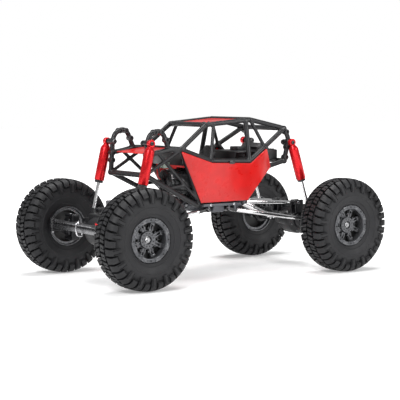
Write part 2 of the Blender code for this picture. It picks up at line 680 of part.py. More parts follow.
def build_steering():
    """Servo on the axle, its horn, the drag link and the tie rod, stacked one above the other."""
    x = AXLE_X
    tip = x + STEERING_ARM
    rod_z, drag_z = 65.5, 71.9
    tie = union(
        [
            bar((tip, -KINGPIN_Y, rod_z), (tip, KINGPIN_Y, rod_z), 2.2, 10),
            bar((tip, KINGPIN_Y, rod_z - 3.0), (tip, KINGPIN_Y, rod_z + 3.0), 3.4, 12),
            bar((tip, -KINGPIN_Y, rod_z - 3.0), (tip, -KINGPIN_Y, rod_z + 3.0), 3.4, 12),
        ]
    )
    keep(tie, "tie_rod", STEEL, (tip, KINGPIN_Y, rod_z))
    drag = union(
        [
            bar((tip, -KINGPIN_Y, drag_z), (tip, SERVO_AXIS_Y, drag_z), 2.2, 10),
            bar((tip, -KINGPIN_Y, drag_z - 3.0), (tip, -KINGPIN_Y, drag_z + 3.0), 3.4, 12),
            bar((tip, SERVO_AXIS_Y, drag_z - 3.0), (tip, SERVO_AXIS_Y, drag_z + 3.0), 3.4, 12),
        ]
    )
    keep(drag, "drag_link", STEEL, (tip, SERVO_AXIS_Y, drag_z))
    horn = union(
        [
            bar((x, SERVO_AXIS_Y, 75.3), (x, SERVO_AXIS_Y, 80.0), 4.2, 12),
            block((x, SERVO_AXIS_Y - 2.6, 75.3), (tip, SERVO_AXIS_Y + 2.6, 78.0)),
            bar((tip, SERVO_AXIS_Y, 75.3), (tip, SERVO_AXIS_Y, 78.0), 3.4, 12),
        ]
    )
    keep(horn, "servo_horn", RED_ANODISED, (x, SERVO_AXIS_Y, 75.3))
    low, high = SERVO_AXIS_Y - SERVO_HALF_WIDTH, SERVO_AXIS_Y + SERVO_HALF_WIDTH
    servo = union(
        [
            block((x - 30.5, low, 84.6), (x + 9.5, high, 105.0)),
            block((x - 37.5, low, 88.0), (x + 16.5, high, 90.5)),
            bar((x, SERVO_AXIS_Y, 80.4), (x, SERVO_AXIS_Y, 86.0), 5.0, 14),
        ]
    )
    keep(servo, "steering_servo", SERVO_GREY)


def build_rear_axle():
    pieces = axle_core(92.0, 20.5)
    for side in (1, -1):
        pieces.append(bar((AXLE_X, side * 78.0, AXLE_Z), (AXLE_X, side * 82.0, AXLE_Z), 11.0, 12))
        pieces.append(bar((AXLE_X, side * 90.0, AXLE_Z), (AXLE_X, side * 105.5, AXLE_Z), 3.0, 12))
    front = union(pieces)
    rear = mirrored(front, "X")
    discard(front)
    keep(rear, "rear_axle_housing", NYLON, (-LOWER_LINK_AXLE[0], 0.0, LOWER_LINK_AXLE[2]))


# ---------------------------------------------------------------- wheels
TYRE_STEPS = 28
RIM_STEPS = 20
TYRE_PROFILE = [
    (28.2, 15.0),
    (37.0, 20.0),
    (48.0, 22.5),
    (58.5, 20.6),
    (62.5, 14.0),
    (62.5, -14.0),
    (58.5, -20.6),
    (48.0, -22.5),
    (37.0, -20.0),
    (26.5, -15.8),
    (26.5, -12.0),
    (36.0, -16.4),
    (47.0, -19.0),
    (55.0, -17.4),
    (57.6, -12.0),
    (57.6, 12.0),
    (55.0, 17.4),
    (47.0, 19.0),
    (36.0, 16.4),
    (26.5, 8.5),
    (26.5, 11.9),
    (28.2, 12.2),
]
RIM_PROFILE = [
    (0.0, 11.0),
    (6.5, 11.0),
    (6.5, 6.0),
    (23.8, 6.0),
    (23.8, 11.8),
    (26.0, 11.8),
    (26.0, -16.0),
    (24.0, -16.0),
    (24.0, 3.0),
    (6.5, 3.0),
    (6.5, -4.0),
    (3.4, -4.0),
    (3.4, 4.0),
    (0.0, 4.0),
]
RING_PROFILE = [(27.5, 15.4), (27.5, 12.3), (21.5, 12.3), (21.5, 16.0), (26.6, 16.0)]


def build_wheels():
    """Tyre, rim and bead-lock ring of each wheel."""
    flat = 1 / math.cos(math.pi / TYRE_STEPS)
    tyre = [(r * flat if r > 60 else r, z) for r, z in TYRE_PROFILE]
    for end_name, sign in (("front", 1), ("rear", -1)):
        for side_name, side in (("left", 1), ("right", -1)):
            centre = (sign * AXLE_X, side * WHEEL_Y, AXLE_Z)
            name = f"{end_name}_{side_name}"
            turned(f"{name}_tyre", tyre, TYRE_STEPS, centre, side, RUBBER)
            turned(f"{name}_rim", RIM_PROFILE, RIM_STEPS, centre, side, RIM_GREY, closed=False)
            turned(f"{name}_beadlock_ring", RING_PROFILE, RIM_STEPS, centre, side, RIM_GREY)


build_cage()
build_panels()
build_chassis()
build_drive_train()
build_links("front", lambda p: p)
build_links("rear", rearward)
build_driveshaft("front", lambda p: p)
build_driveshaft("rear", rearward)
build_shocks("front", SHOCK_TOP_FRONT, SHOCK_AXLE)
build_shocks("rear", SHOCK_TOP_REAR, rearward(SHOCK_AXLE))
build_front_axle()
build_rear_axle()
build_wheels()
bpy.data.collections.remove(SCRATCH)
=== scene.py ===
"""Looks of the radio-controlled rock crawler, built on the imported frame.

Frame: +X forward, +Y to the driver's left, +Z up.  Dimensions are written in millimetres and
turned into metres by the helpers.
"""
import math

import bmesh
import bpy
from mathutils import Matrix, Vector


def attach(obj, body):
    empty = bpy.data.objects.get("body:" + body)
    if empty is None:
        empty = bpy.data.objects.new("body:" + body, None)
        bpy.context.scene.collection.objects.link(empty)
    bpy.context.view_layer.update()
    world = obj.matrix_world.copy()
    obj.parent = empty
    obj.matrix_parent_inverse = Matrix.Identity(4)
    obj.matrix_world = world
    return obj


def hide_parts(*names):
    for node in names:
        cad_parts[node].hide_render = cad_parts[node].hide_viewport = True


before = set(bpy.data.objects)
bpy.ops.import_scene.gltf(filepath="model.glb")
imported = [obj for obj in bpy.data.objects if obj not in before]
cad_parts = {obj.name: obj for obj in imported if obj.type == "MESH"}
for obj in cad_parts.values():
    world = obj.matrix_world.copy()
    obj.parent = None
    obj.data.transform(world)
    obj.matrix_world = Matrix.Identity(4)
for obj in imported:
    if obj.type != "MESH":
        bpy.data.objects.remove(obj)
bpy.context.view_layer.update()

MM = 0.001
AXLE_X = 156.5
WHEEL_Y = 103.0
AXLE_Z = 62.5
TUBE_RADIUS = 3.3
BRACE_RADIUS = 2.4
KINGPIN_Y = 80.0
STEERING_TIP = AXLE_X + 26.0
SERVO_Y = 37.2
SERVO_HALF = 9.2
TIE_ROD_Z = 65.5
DRAG_LINK_Z = 71.9
OUTPUT_Z = 101.0
MOTOR_Y, MOTOR_Z = 16.0, 122.5
MOTOR_PLATE = (24.6, 27.0)
LINK_SHOULDER = 0.11

LOWER_LINK_CHASSIS = (16.0, 34.0, 86.0)
LOWER_LINK_AXLE = (143.0, 34.0, 65.5)
UPPER_LINK_CHASSIS = (46.0, 20.0, 93.0)
UPPER_LINK_AXLE = (141.0, 20.0, 87.0)
SHOCK_AXLE = (140.0, 54.0, 73.0)
SHOCK_TOP_FRONT = (115.4, 54.0, 174.8)
SHOCK_TOP_REAR = (-107.5, 54.0, 171.6)
SHAFT_CHASSIS = (38.0, 0.0, OUTPUT_Z)
SHAFT_AXLE = (115.5, 0.0, 67.8)

FRONT_LOW = (116.4, 42.5, 134.7)
HOOP_FRONT = (113.5, 42.5, 176.0)
HOOP_BEND = (110.0, 42.5, 185.5)
HOOP_TOP = (98.5, 43.0, 190.8)
HOOP_BACK = (90.5, 43.3, 186.5)
HOOD_MID = (81.0, 43.6, 166.6)
RAIL_FRONT = (112.8, 42.6, 160.6)
BRACE_TOP = (99.0, 42.8, 162.6)
PILLAR_FOOT = (63.6, 43.5, 166.0)
ROOF_FRONT = (24.0, 42.0, 196.8)
ROOF_REAR = (-44.7, 44.5, 202.6)
REAR_TOP = (-100.5, 46.0, 190.4)
REAR_BULGE = (-108.0, 46.0, 176.5)
REAR_MID = (-103.5, 45.5, 156.0)
REAR_LOW = (-101.6, 45.0, 147.0)
SILL_FRONT = (26.4, 56.5, 150.6)
SILL_REAR = (-35.0, 56.5, 148.6)
DOOR_PEAK = (-62.0, 53.6, 166.5)
DOOR_TAIL = (-79.0, 39.2, 140.0)
ROCKER_REAR = (-46.0, 33.5, 97.5)
ROCKER_FRONT = (29.5, 33.5, 97.3)
NOSE_LOW = (32.0, 34.8, 91.6)

DOOR_FRONT_TOP = (66.0, 47.6, 163.5)
DOOR_SILL_FRONT = (26.4, 61.1, 148.1)
DOOR_SILL_REAR = (-35.0, 61.1, 146.0)
DOOR_REAR_PEAK = (-62.5, 58.6, 164.5)
DOOR_REAR_TAIL = (-79.6, 44.3, 139.3)
DOOR_FOOT_REAR = (-46.0, 39.1, 96.0)
DOOR_FOOT_FRONT = (29.5, 39.1, 95.5)

NO_MIRROR = (1, 1, 1)
FLIP_Y = (1, -1, 1)
FLIP_X = (-1, 1, 1)
SIDES = (("left", 1, NO_MIRROR), ("right", -1, FLIP_Y))
ENDS = (("front", 1, NO_MIRROR), ("rear", -1, FLIP_X))
WHEEL_AXIS = ((0, 0, 0), (0, 0, 1))
WHITE = (1.0, 1.0, 1.0, 1.0)


# ---------------------------------------------------------------- camera and light
def aim(obj, place, target):
    obj.location = place
    obj.rotation_euler = (Vector(target) - Vector(place)).to_track_quat("-Z", "Y").to_euler()
    bpy.context.scene.collection.objects.link(obj)


def build_stage():
    """Camera, soft boxes, pale surroundings and floor."""
    scene = bpy.context.scene
    lens = bpy.data.cameras.new("camera")
    lens.lens = 116.3
    lens.clip_end = 50.0
    camera = bpy.data.objects.new("camera", lens)
    place = Vector((0.9733, 1.4125, 0.2392))
    aim(camera, place, place + Vector((-0.5637, -0.8219, -0.0835)))
    scene.camera = camera
    for name, place, size, power in (
        ("key_softbox", (1.5, 0.9, 1.5), 0.9, 34.0),
        ("side_softbox", (-0.9, 1.7, 0.9), 0.8, 16.0),
        ("top_softbox", (-0.1, -0.2, 1.9), 1.3, 34.0),
    ):
        light = bpy.data.lights.new(name, "AREA")
        light.shape = "DISK"
        light.size = size
        light.energy = power
        aim(bpy.data.objects.new(name, light), place, (0.0, 0.0, 0.1))
    world = bpy.data.worlds.new("studio")
    world.use_nodes = True
    tree = world.node_tree
    ambient = tree.nodes["Background"]
    ambient.inputs["Color"].default_value = WHITE
    ambient.inputs["Strength"].default_value = 0.36
    backdrop = tree.nodes.new("ShaderNodeBackground")
    backdrop.inputs["Color"].default_value = WHITE
    choose = tree.nodes.new("ShaderNodeMixShader")
    seen = tree.nodes.new("ShaderNodeLightPath").outputs["Is Camera Ray"]
    for source, target in zip((seen, ambient.outputs[0], backdrop.outputs[0]), choose.inputs):
        tree.links.new(source, target)
    tree.links.new(choose.outputs[0], tree.nodes["World Output"].inputs["Surface"])
    scene.world = world
    scene.view_settings.view_transform = "Standard"
    bm = bmesh.new()
    bmesh.ops.create_grid(bm, x_segments=1, y_segments=1, size=6.0)
    mesh = bpy.data.meshes.new("floor")
    bm.to_mesh(mesh)
    bm.free()
    floor = bpy.data.objects.new("floor", mesh)
    paint = Nodes("floor")
    paint.shader.inputs["Base Color"].default_value = (0.82, 0.82, 0.82, 1.0)
    paint.shader.inputs["Roughness"].default_value = 0.7
    paint.shader.inputs["Emission Color"].default_value = WHITE
    reach = paint.tree.nodes.new("ShaderNodeVectorMath")
    reach.operation = "LENGTH"
    paint.link(paint.coordinates.outputs["Object"], reach.inputs[0])
    glow = paint.spread(reach.outputs["Value"], 0.25, 1.1, 0.26, 0.95)
    paint.link(glow, paint.shader.inputs["Emission Strength"])
    mesh.materials.append(paint.material)
    scene.collection.objects.link(floor)


# ---------------------------------------------------------------- materials
class Nodes:
    """A short way to write a node tree in object space."""

    def __init__(self, name):
        self.material = bpy.data.materials.new(name)
        self.material.use_nodes = True
        self.tree = self.material.node_tree
        self.shader = self.tree.nodes["Principled BSDF"]
        self.coordinates = self.tree.nodes.new("ShaderNodeTexCoord")
        self.geometry = self.tree.nodes.new("ShaderNodeNewGeometry")

    def link(self, source, target):
        self.tree.links.new(source, target)

    def noise(self, scale, detail=3.0, stretch=None):
        node = self.tree.nodes.new("ShaderNodeTexNoise")
        node.inputs["Scale"].default_value = scale
        node.inputs["Detail"].default_value = detail
        source = self.coordinates.outputs["Object"]
        if stretch:
            mapping = self.tree.nodes.new("ShaderNodeMapping")
            mapping.inputs["Scale"].default_value = stretch
            self.link(source, mapping.inputs["Vector"])
            source = mapping.outputs["Vector"]
        self.link(source, node.inputs["Vector"])
        return node.outputs["Fac"]

    def spread(self, value, *limits):
        """Map a value from its low and high to another low and high."""
        node = self.tree.nodes.new("ShaderNodeMapRange")
        for socket, limit in zip(("From Min", "From Max", "To Min", "To Max"), limits):
            node.inputs[socket].default_value = limit
        self.link(value, node.inputs["Value"])
        return node.outputs["Result"]

    def times(self, a, b):
        node = self.tree.nodes.new("ShaderNodeMath")
        node.operation = "MULTIPLY"
        self.link(a, node.inputs[0])
        self.link(b, node.inputs[1])
        return node.outputs[0]

    def mix(self, factor, first, second):
        node = self.tree.nodes.new("ShaderNodeMix")
        node.data_type = "RGBA"
        self.link(factor, node.inputs["Factor"])
        for socket, value in ((node.inputs[6], first), (node.inputs[7], second)):
            if isinstance(value, tuple):
                socket.default_value = (*value, 1.0)
            else:
                self.link(value, socket)
        return node.outputs[2]

    def bump(self, height, strength, distance):
        node = self.tree.nodes.new("ShaderNodeBump")
        node.inputs["Strength"].default_value = strength
        node.inputs["Distance"].default_value = distance
        self.link(height, node.inputs["Height"])
        self.link(node.outputs["Normal"], self.shader.inputs["Normal"])


def shade(value, factor):
    return tuple(min(1.0, channel * factor) for channel in value)


def surface(name, colour, roughness, grain, bump, metallic=0.0, wear=None, dust=None,
            coat=0.0, stretch=None, cloud=60.0, specular=0.5):
    """A procedural finish: cloudy colour, fine grain, uneven gloss, worn edges and settled dust."""
    n = Nodes(name)
    clouds = n.noise(cloud, 4.0, stretch)
    body = n.mix(n.spread(clouds, 0.3, 0.7, 0.0, 1.0), shade(colour, 0.86), shade(colour, 1.14))
    if wear:
        edge = n.spread(n.geometry.outputs["Pointiness"], 0.53, 0.62, 0.0, 0.7)
        patchy = n.spread(n.noise(420.0, 3.0), 0.38, 0.66, 0.15, 1.0)
        body = n.mix(n.times(edge, patchy), body, wear)
    if dust:
        axes = n.tree.nodes.new("ShaderNodeSeparateXYZ")
        n.link(n.geometry.outputs["Normal"], axes.inputs[0])
        upward = n.spread(axes.outputs["Z"], 0.2, 1.0, 0.0, 0.35)
        body = n.mix(n.times(upward, n.noise(190.0, 5.0)), body, dust)
    n.link(body, n.shader.inputs["Base Color"])
    gloss = n.noise(cloud * 2.5, 3.0, stretch)
    n.link(n.spread(gloss, 0.3, 0.7, roughness - 0.06, roughness + 0.08), n.shader.inputs["Roughness"])
    n.shader.inputs["Metallic"].default_value = metallic
    n.shader.inputs["Coat Weight"].default_value = coat
    n.shader.inputs["Specular IOR Level"].default_value = specular
    n.shader.inputs["Coat Roughness"].default_value = 0.08
    n.bump(n.noise(grain, 2.0, stretch), bump, 0.00012)
    return n.material


NYLON = surface("black_nylon", (0.0085, 0.0085, 0.010), 0.36, 1500.0, 0.25,
                wear=(0.035, 0.035, 0.038), dust=(0.022, 0.022, 0.022), specular=0.4)
NYLON_SATIN = surface("black_nylon_satin", (0.008, 0.008, 0.009), 0.28, 1900.0, 0.15,
                      wear=(0.07, 0.07, 0.075))
RED_PANEL = surface("red_panel", (0.56, 0.005, 0.004), 0.30, 700.0, 0.06, coat=0.3, cloud=35.0,
                    specular=0.35)
RED_METAL = surface("red_anodised", (0.60, 0.008, 0.013), 0.25, 900.0, 0.03, metallic=0.6, cloud=90.0)
CHROME = surface("bright_steel", (0.80, 0.80, 0.81), 0.14, 1300.0, 0.05, metallic=1.0,
                 wear=(0.95, 0.95, 0.95), cloud=120.0)
STEEL = surface("screw_steel", (0.62, 0.62, 0.64), 0.25, 1800.0, 0.12, metallic=1.0,
                wear=(0.85, 0.85, 0.85), cloud=200.0)
RUBBER = surface("tyre_rubber", (0.010, 0.010, 0.0115), 0.58, 1100.0, 0.35,
                 wear=(0.030, 0.030, 0.031), dust=(0.020, 0.020, 0.020), cloud=28.0, specular=0.35)
RIM_GREY = surface("rim_grey", (0.062, 0.064, 0.070), 0.34, 1500.0, 0.14, metallic=0.55,
                   wear=(0.30, 0.30, 0.31), cloud=80.0)
SKID_GREY = surface("skid_grey", (0.050, 0.053, 0.064), 0.36, 1300.0, 0.22,
                    wear=(0.16, 0.165, 0.18), dust=(0.12, 0.12, 0.12))
DARK_CASE = surface("dark_case", (0.030, 0.031, 0.035), 0.33, 1500.0, 0.2, wear=(0.10, 0.10, 0.11))
MOTOR_BLACK = surface("motor_black", (0.020, 0.020, 0.022), 0.24, 1600.0, 0.08, metallic=0.5,
                      wear=(0.2, 0.2, 0.2))
GEAR_STEEL = surface("gear_steel", (0.36, 0.36, 0.37), 0.32, 1700.0, 0.15, metallic=1.0,
                     wear=(0.6, 0.6, 0.6), cloud=150.0)
BATTERY_WRAP = surface("battery_wrap", (0.045, 0.065, 0.16), 0.3, 600.0, 0.12, coat=0.2)
SERVO_GREY = surface("servo_grey", (0.05, 0.05, 0.056), 0.34, 1500.0, 0.18, wear=(0.28, 0.28, 0.3))
LABEL_GREY = surface("plain_label", (0.27, 0.34, 0.29), 0.45, 900.0, 0.08)
GUNMETAL = surface("gunmetal", (0.15, 0.15, 0.16), 0.28, 1500.0, 0.08, metallic=0.9,
                   wear=(0.4, 0.4, 0.4), cloud=120.0)
WIRE_BLACK = surface("wire_black", (0.012, 0.012, 0.012), 0.42, 1400.0, 0.1)
WIRE_RED = surface("wire_red", (0.55, 0.01, 0.01), 0.42, 1400.0, 0.1)


# ---------------------------------------------------------------- shapes
def vec(point):
    return Vector(point) * MM


def along(start, end, fraction):
    return tuple(a + (b - a) * fraction for a, b in zip(start, end))


def at_y(point, y):
    return (point[0], y, point[2])


def beside(point, shift):
    """The point moved across the car."""
    return (point[0], point[1] + shift, point[2])


def on_axle(y):
    return (AXLE_X, y, AXLE_Z)


def span(start, end):
    return (Vector(end) - Vector(start)).length


def circle(count, radius, phase=0.0):
    """Evenly spaced points on a circle."""
    angles = (2 * math.pi * (k + phase) / count for k in range(count))
    return [(radius * math.cos(a), radius * math.sin(a)) for a in angles]


def turns(count, phase=0.0):
    """Rotations about Z that share out a full turn."""
    return [Matrix.Rotation(2 * math.pi * (k + phase) / count, 4, "Z") for k in range(count)]


def both_ends(half, length):
    """The first half of a turned profile, repeated backwards from its far end."""
    return half + [(length - place, radius) for place, radius in reversed(half)]


def frame_on(start, direction):
    """Matrix with its origin at a point in metres and its +Z along a direction."""
    turn = Vector((0, 0, 1)).rotation_difference(Vector(direction)).to_matrix().to_4x4()
    return Matrix.Translation(start) @ turn


class Build:
    """Closed shells gathered into one mesh.  All sizes are in millimetres."""

    def __init__(self):
        self.bm = bmesh.new()

    def take(self, part, matrix=None):
        if matrix:
            bmesh.ops.transform(part, matrix=matrix, verts=part.verts)
        bmesh.ops.recalc_face_normals(part, faces=part.faces)
        mesh = bpy.data.meshes.new("part")
        part.to_mesh(mesh)
        part.free()
        self.bm.from_mesh(mesh)
        bpy.data.meshes.remove(mesh)
        return self

    def copy(self, scale):
        other = Build()
        mesh = bpy.data.meshes.new("copy")
        self.bm.to_mesh(mesh)
        other.bm.from_mesh(mesh)
        bpy.data.meshes.remove(mesh)
        bmesh.ops.transform(other.bm, matrix=Matrix.Diagonal((*scale, 1.0)), verts=other.bm.verts)
        if scale[0] * scale[1] * scale[2] < 0:
            bmesh.ops.reverse_faces(other.bm, faces=other.bm.faces)
        return other

    def box(self, low, high, bevel=0.6, segments=2, matrix=None):
        part = bmesh.new()
        bmesh.ops.create_cube(part, size=1.0)
        low, high = vec(low), vec(high)
        place = Matrix.Translation((low + high) / 2) @ Matrix.Diagonal((*(high - low), 1.0))
        bmesh.ops.transform(part, matrix=place, verts=part.verts)
        if bevel:
            bmesh.ops.bevel(part, geom=part.edges[:], offset=bevel * MM, segments=segments,
                            profile=0.5, affect="EDGES", clamp_overlap=True)
        return self.take(part, matrix)

    def turn(self, start, end, profile, sides=24, closed=False, matrix=None):
        """A turned shell on the line from start to end: (distance from start, radius) pairs."""
        part = bmesh.new()
        rings = []
        for height, radius in profile:
            if radius <= 0.0:
                rings.append([part.verts.new((0.0, 0.0, height * MM))])
                continue
            rings.append([part.verts.new((x, y, height * MM)) for x, y in circle(sides, radius * MM)])
        pairs = list(zip(rings, rings[1:]))
        if closed:
            pairs.append((rings[-1], rings[0]))
        for lower, upper in pairs:
            for i in range(sides):
                j = (i + 1) % sides
                corners = [ring[k % len(ring)] for ring,
                           k in ((lower, i), (lower, j), (upper, j), (upper, i))]
                part.faces.new(list(dict.fromkeys(corners)))
        if not closed:
            for ring in (rings[0], rings[-1]):
                if len(ring) > 2:
                    part.faces.new(ring)
        place = frame_on(vec(start), vec(end) - vec(start))
        return self.take(part, matrix @ place if matrix else place)

    def rod(self, start, end, radius, radius_end=None, bevel=0.35, sides=20, matrix=None):
        length = span(start, end)
        far = radius if radius_end is None else radius_end
        profile = [(0, radius - bevel), (bevel, radius), (length - bevel, far), (length, far - bevel)]
        return self.turn(start, end, profile, sides, matrix=matrix)

    def ball(self, centre, radius, sides=16, matrix=None):
        part = bmesh.new()
        bmesh.ops.create_uvsphere(part, u_segments=sides, v_segments=sides // 2 + 2, radius=radius * MM)
        bmesh.ops.translate(part, vec=vec(centre), verts=part.verts)
        return self.take(part, matrix)

    def tube(self, points, radius, bend=6.0, sides=14):
        """A tube with rounded bends through the points."""
        raw_points = [vec(p) for p in points]
        path = [raw_points[0]]
        for before, corner, after in zip(raw_points, raw_points[1:], raw_points[2:]):
            reach = min(bend * MM, (before - corner).length * 0.45, (after - corner).length * 0.45)
            start = corner + (before - corner).normalized() * reach
            end = corner + (after - corner).normalized() * reach
            for step in range(5):
                t = step / 4
                path.append((1 - t) ** 2 * start + 2 * t * (1 - t) * corner + t * t * end)
        path.append(raw_points[-1])
        part = bmesh.new()
        tangent = (path[1] - path[0]).normalized()
        side = tangent.orthogonal().normalized()
        rings = []
        for i, point in enumerate(path):
            ahead = path[min(i + 1, len(path) - 1)] - path[max(i - 1, 0)]
            tangent = ahead.normalized()
            side = (side - tangent * side.dot(tangent)).normalized()
            other = tangent.cross(side)
            rings.append([part.verts.new(point + (side * x + other * y) * radius * MM)
                          for x, y in circle(sides, 1.0)])
        for lower, upper in zip(rings, rings[1:]):
            for k in range(sides):
                j = (k + 1) % sides
                part.faces.new((lower[k], lower[j], upper[j], upper[k]))
        part.faces.new(rings[0])
        part.faces.new(rings[-1])
        return self.take(part)

    def plate(self, outline, thickness, matrix, bevel=0.4):
        """A flat outline in X and Y, extruded both ways along its own Z, with softened edges."""
        part = bmesh.new()
        base = [part.verts.new((x * MM, y * MM, -thickness * MM / 2)) for x, y in outline]
        top = [part.verts.new((x * MM, y * MM, thickness * MM / 2)) for x, y in outline]
        part.faces.new(base)
        part.faces.new(top)
        for i in range(len(base)):
            j = (i + 1) % len(base)
            part.faces.new((base[i], base[j], top[j], top[i]))
        if bevel:
            rims = [e for e in part.edges if abs(e.verts[0].co.z - e.verts[1].co.z) < 1e-9]
            bmesh.ops.bevel(part, geom=rims, offset=bevel * MM, segments=2, profile=0.5,
                            affect="EDGES", clamp_overlap=True)
        return self.take(part, matrix)

    def screw(self, point, direction, radius=1.7, height=1.1, matrix=None):
        """A button-head screw with a socket."""
        start = Vector(point)
        end = start + Vector(direction).normalized() * height
        shares = ((0.35, 1.0), (0.75, 0.84), (1.0, 0.5), (0.95, 0.42), (0.25, 0.40))
        profile = [(-0.4, radius), *((height * h, radius * r) for h, r in shares)]
        return self.turn(start, end, profile, 12, matrix=matrix)

    def nut(self, point, direction, radius=2.6, height=2.2, matrix=None):
        """A hexagon nut with the bolt's end in it."""
        start = Vector(point)
        end = start + Vector(direction).normalized() * height
        shares = ((0, 1.0), (0.85, 1.0), (1.0, 0.86), (1.0, 0.5), (1.25, 0.44))
        return self.turn(start, end, [(height * h, radius * r) for h, r in shares], 6, matrix=matrix)

    def fused(self, voxel=0.75, rounds=4):
        """The shells melted into one skin, like a moulding with filleted joints."""
        mesh = bpy.data.meshes.new("fuse")
        self.bm.to_mesh(mesh)
        obj = bpy.data.objects.new("fuse", mesh)
        bpy.context.scene.collection.objects.link(obj)
        remesh = obj.modifiers.new("remesh", "REMESH")
        remesh.mode = "VOXEL"
        remesh.voxel_size = voxel * MM
        soften = obj.modifiers.new("soften", "SMOOTH")
        soften.factor = 0.5
        soften.iterations = rounds
        graph = bpy.context.evaluated_depsgraph_get()
        result = bpy.data.meshes.new_from_object(obj.evaluated_get(graph))
        bpy.data.objects.remove(obj)
        fused = Build()
        fused.bm.from_mesh(result)
        return fused


def piece(name, build, material, body, *nodes, crease=32.0):
    """A visible piece that rides on a body and may stand for CAD nodes."""
    mesh = bpy.data.meshes.new(name)
    bmesh.ops.dissolve_degenerate(build.bm, dist=1e-7, edges=build.bm.edges)
    build.bm.to_mesh(mesh)
    mesh.materials.append(material)
    mesh.shade_smooth()
    mesh.set_sharp_from_angle(angle=math.radians(crease))
    obj = bpy.data.objects.new(name, mesh)
    bpy.context.scene.collection.objects.link(obj)
    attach(obj, body)
    if nodes:
        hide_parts(*nodes)


def pair(name, build, material, body, node=None, mirror=NO_MIRROR, crease=32.0):
    """The same piece on both sides of the car: {} stands for the side in every name."""
    for side, _, flip in SIDES:
        shell = build.copy(tuple(a * b for a, b in zip(mirror, flip)))
        nodes = [node.format(side)] if node else []
        piece(name.format(side), shell, material, body.format(side), *nodes, crease=crease)


# ---------------------------------------------------------------- wheels
SPOKES = 8
PITCHES = 18
# the lug pattern is laid out in steps along one pitch
LATTICE = 24
BLOCK_EDGES = (1, 4, 7, 10, 13, 16, 19, 22)
# thin cuts across the lugs, from and to
SIPES = ((5.2, 6.0), (11.2, 12.0), (17.2, 18.0), (23.2, 24.0))
# outboard half of the carcass: offset, radius, lug height
CARCASS = (
    (0.0, 55.9, 6.4),
    (6.0, 55.8, 6.4),
    (11.0, 55.4, 6.4),
    (14.6, 54.0, 6.0),
    (17.4, 51.6, 4.8),
    (19.4, 48.6, 3.0),
    (20.4, 45.4, 1.9),
    (20.8, 41.5, 0.0),
    (20.4, 38.0, 0.0),
    (18.6, 33.5, 0.0),
    (16.4, 29.6, 0.0),
)
# places along the profile that get a grid line: pairs stand close together at a lug's walls
TREAD_ROWS = (
    0.13, 0.19, 0.6, 1.0, 1.50, 1.56, 1.86, 1.92, 2.2, 2.5, 2.8, 3.1, 3.4, 3.7, 4.0, 4.3, 4.42, 4.50,
    4.8, 5.1, 5.4, 5.7, 6.0, 6.12, 6.20, 6.5, 7.0, 7.4, 7.46, 7.75, 7.81, 8.2, 9.0, 9.3, 9.4, 10.0,
)


def on_carcass(s):
    """Offset, radius and lug height at a place on the profile, on a smooth curve."""
    i = min(int(s), len(CARCASS) - 2)
    t = s - i
    rows = [CARCASS[max(i - 1, 0)], CARCASS[i], CARCASS[i + 1], CARCASS[min(i + 2, len(CARCASS) - 1)]]
    if i == 0:
        rows[0] = (-CARCASS[1][0], CARCASS[1][1], CARCASS[1][2])
    result = []
    for a, b, c, d in zip(*rows):
        result.append(0.5 * (2 * b + (c - a) * t + (2 * a - 5 * b + 4 * c - d) * t * t
                             + (3 * b - a - 3 * c + d) * t ** 3))
    return result


def lug_share(s, side, u):
    """How much of the full lug stands at this place: u is the place along the pitch."""
    u = (u - (0 if side > 0 else 6)) % LATTICE
    cut = any(low < u < high for low, high in SIPES)
    if 0.16 < s < 1.53:
        inside = 1 < u < 10 or 13 < u < 22
        return (0.45 if cut else 1.0) if inside else 0.0
    if 1.89 < s < 6.16:
        long_lug, short_lug = 4 < u < 13, u > 16 or u < 1
        if long_lug and s > 3.9 and cut:
            return 0.25
        return 1.0 if long_lug or (short_lug and s < 4.46) else 0.0
    return 0.0


def tyre_shell():
    """Knobby tyre: one closed skin whose grid lines run along every lug's edges."""
    columns = []
    for edge in sorted([*BLOCK_EDGES, *(e for pair in SIPES for e in pair)]):
        columns += [edge - 0.13, edge + 0.13]
    rows = [(-1, s) for s in reversed(TREAD_ROWS)] + [(1, s) for s in TREAD_ROWS]
    part = bmesh.new()
    grid = []
    for pitch in range(PITCHES):
        for u in columns:
            line = []
            for side, s in rows:
                y, radius, height = on_carcass(s)
                y1, r1, _ = on_carcass(s + 0.02)
                normal = Vector((r1 - radius, -(y1 - y))).normalized() * -1
                share = lug_share(s, side, u)
                ridge = 0.35 if 7.43 < s < 7.78 or 9.0 < s < 9.35 else 0.0
                lift = height * share + ridge
                y, radius = y + normal[0] * lift, radius + normal[1] * lift
                line.append((radius, 0.20 * min(s, 3.0) / 3.0, side * y))
            line += [(27.9, 0.20, 15.6), (26.6, 0.20, 12.4), (26.6, 0.20, -15.4), (28.2, 0.20, -16.2)]
            corners = []
            for radius, lean, y in line:
                angle = 2 * math.pi * (pitch + u / LATTICE + lean) / PITCHES
                at = (radius * MM * math.cos(angle), radius * MM * math.sin(angle), y * MM)
                corners.append(part.verts.new(at))
            grid.append(corners)
    count = len(grid[0])
    for here, ahead in zip(grid, grid[1:] + grid[:1]):
        for k in range(count):
            j = (k + 1) % count
            part.faces.new((here[k], ahead[k], ahead[j], here[j]))
    return Build().take(part)


def wheel_place(sign, side):
    """Matrix that stands a wheel on its axle, with its face outwards."""
    return (Matrix.Translation(vec((sign * AXLE_X, side * WHEEL_Y, AXLE_Z)))
            @ Matrix.Rotation(-side * math.pi / 2, 4, "X"))


